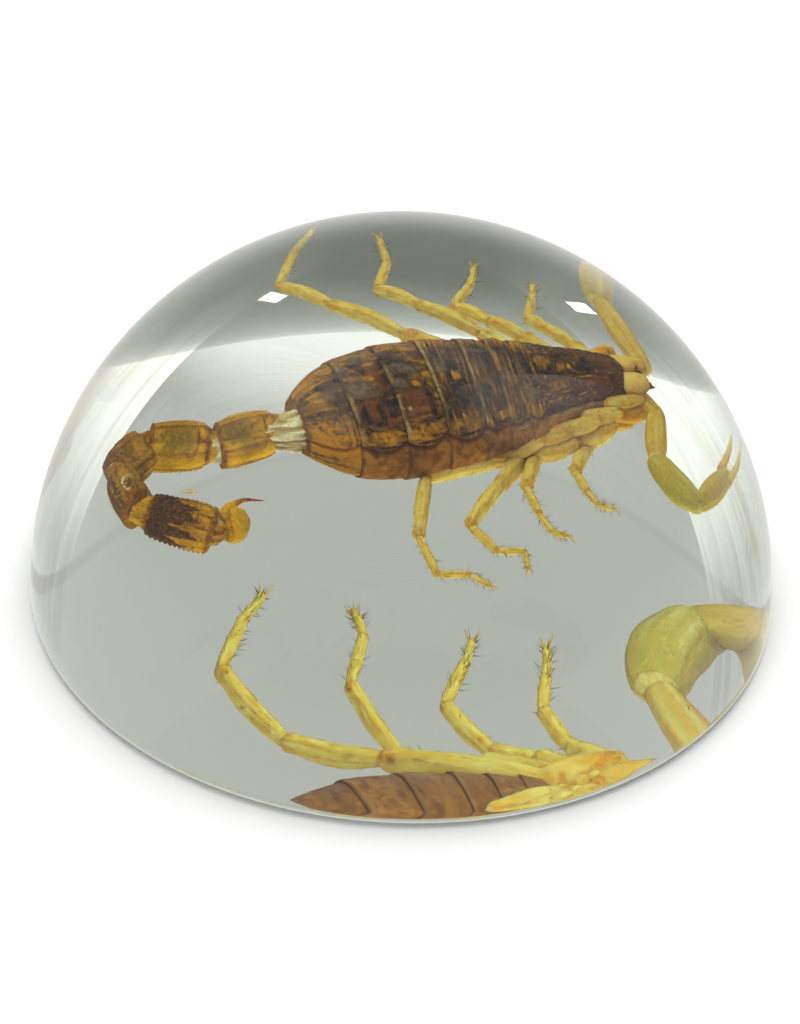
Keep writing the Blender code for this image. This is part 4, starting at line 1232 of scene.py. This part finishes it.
def buildStage():
    mesh = bpy.data.meshes.new("paleFloor")
    corners = ((-1, -1), (1, -1), (1, 1), (-1, 1))
    mesh.from_pydata([(x * stage["floorHalf"], y * stage["floorHalf"], 0) for x, y in corners],
                     [], [(0, 1, 2, 3)])
    material, tree, shader = newMaterial("pale floor")
    cloudy = addNode(tree, "Group", {"Scale": 6}, node_tree=mottle).outputs["Mask"]
    fill(shader, {"Base Color": tint(tree, cloudy, srgb(*stage["floor"]),
                                     srgb(*(c - 3 for c in stage["floor"]))),
                  "Roughness": 0.9})
    mesh.materials.append(material)
    floor = bpy.data.objects.new("paleFloor", mesh)
    floor.location.z = -stage["floorDrop"]
    floor.visible_glossy = False
    scene.collection.objects.link(floor)


def buildWorld():  # a light tent: grey-green back wall, cloth sides, a bright strip above the wall
    world = bpy.data.worlds.new("light tent")
    scene.world = world
    world.use_nodes = True
    tree = world.node_tree
    smooth = partial(ramp, tree, interpolation_type="SMOOTHSTEP")
    place = addNode(tree, "TexCoord").outputs["Generated"]
    x, y, z = addNode(tree, "SeparateXYZ", {0: place}).outputs
    turn = maths(tree, "ARCTAN2", x, y)
    left, right = (radians(edge) for edge in stage["wallEdges"])
    beyond = maths(tree, "MAXIMUM", smooth(turn, left - 0.004, left + 0.004),
                   smooth(turn, right + 0.004, right - 0.004))
    # woven cloth of the side walls, in upright streaks
    threads = addNode(tree, "CombineXYZ", {0: maths(tree, "MULTIPLY", turn, 26),
                                           1: maths(tree, "MULTIPLY", z, 1.6)})
    weave = addNode(tree, "TexNoise", {"Vector": threads.outputs[0], "Scale": 1, "Detail": 5,
                                       "Roughness": 0.65})
    cloth = maths(tree, "MULTIPLY", smooth(z, 0.35, 0.85, *stage["sides"]),
                  smooth(weave.outputs["Fac"], 0.3, 0.7, 0.82, 1.18))
    strip = maths(tree, "MULTIPLY", smooth(z, 0.76, 0.89), smooth(z, 0.99, 0.92))
    wall = blend(tree, strip, stage["room"], stage["strip"])
    bright = blend(tree, beyond, wall, cloth)
    bright = blend(tree, smooth(y, 0.15, -0.25), bright, stage["front"])
    bright = blend(tree, smooth(z, 0.94, 0.99), bright, stage["room"])
    bright = blend(tree, smooth(z, 0.2, -0.15), bright, stage["below"])
    fill(tree.nodes["Background"], {"Strength": bright, "Color": (1, 0.99, 0.955, 1)})


def addLamp(name, place, target, size, watts):
    lamp = bpy.data.lights.new(name, "AREA")
    lamp.shape, lamp.size, lamp.energy = "SQUARE", size, watts
    light = bpy.data.objects.new(name, lamp)
    light.location = place
    light.rotation_euler = (Vector(target) - Vector(place)).to_track_quat("-Z", "Y").to_euler()
    light.visible_transmission = False
    light.visible_glossy = False
    scene.collection.objects.link(light)
    return light


def buildLights():
    for name, place, size, watts in stage["softboxes"]:
        addLamp(name, place, (0, 0, 0), size, watts)
    wide, high = stage["glintSize"]  # far back, for the two bright glints on the resin
    for name, place in stage["glints"]:
        light = addLamp(name, place, stage["glintAim"], wide, stage["glintWatts"])
        light.data.shape, light.data.size_y = "RECTANGLE", high
        light.visible_glossy = True
    # these reach only the specimen, and the clear resin doesn't stop them
    specimen = bpy.data.collections.new("specimen")
    for name in specimenNames:
        specimen.objects.link(scene.objects[name])
    for name, place, size, watts in stage["specimenLamps"]:
        light = addLamp(name, place, stage["specimenAim"], size, watts)
        if place[2] > 0:
            light.data.color = stage["specimenTint"]
        light.light_linking.receiver_collection = specimen
        light.light_linking.blocker_collection = specimen


def buildCamera():
    data = bpy.data.cameras.new("camera")
    data.lens, data.sensor_width = stage["lens"], 36
    data.clip_start, data.clip_end = 0.01, 10
    rise, roll = radians(stage["rise"]), radians(stage["roll"])
    back = Vector((0, -cos(rise), sin(rise)))
    right, top = Vector((1, 0, 0)), Vector((0, sin(rise), cos(rise)))
    side = right * cos(roll) + top * sin(roll)
    above = top * cos(roll) - right * sin(roll)
    place = Matrix((side, above, back)).transposed().to_4x4()
    place.translation = Vector(stage["aim"]) + back * stage["distance"]
    camera = bpy.data.objects.new("camera", data)
    camera.matrix_world = place
    scene.collection.objects.link(camera)
    scene.camera = camera


buildStage()
buildWorld()
buildLights()
buildCamera()
scene.view_settings.view_transform = "Standard"
scene.cycles.use_denoising = True
scene.cycles.denoising_input_passes = "RGB_ALBEDO"
scene.cycles.max_bounces = 20
scene.cycles.transmission_bounces = 20
print("stage made")
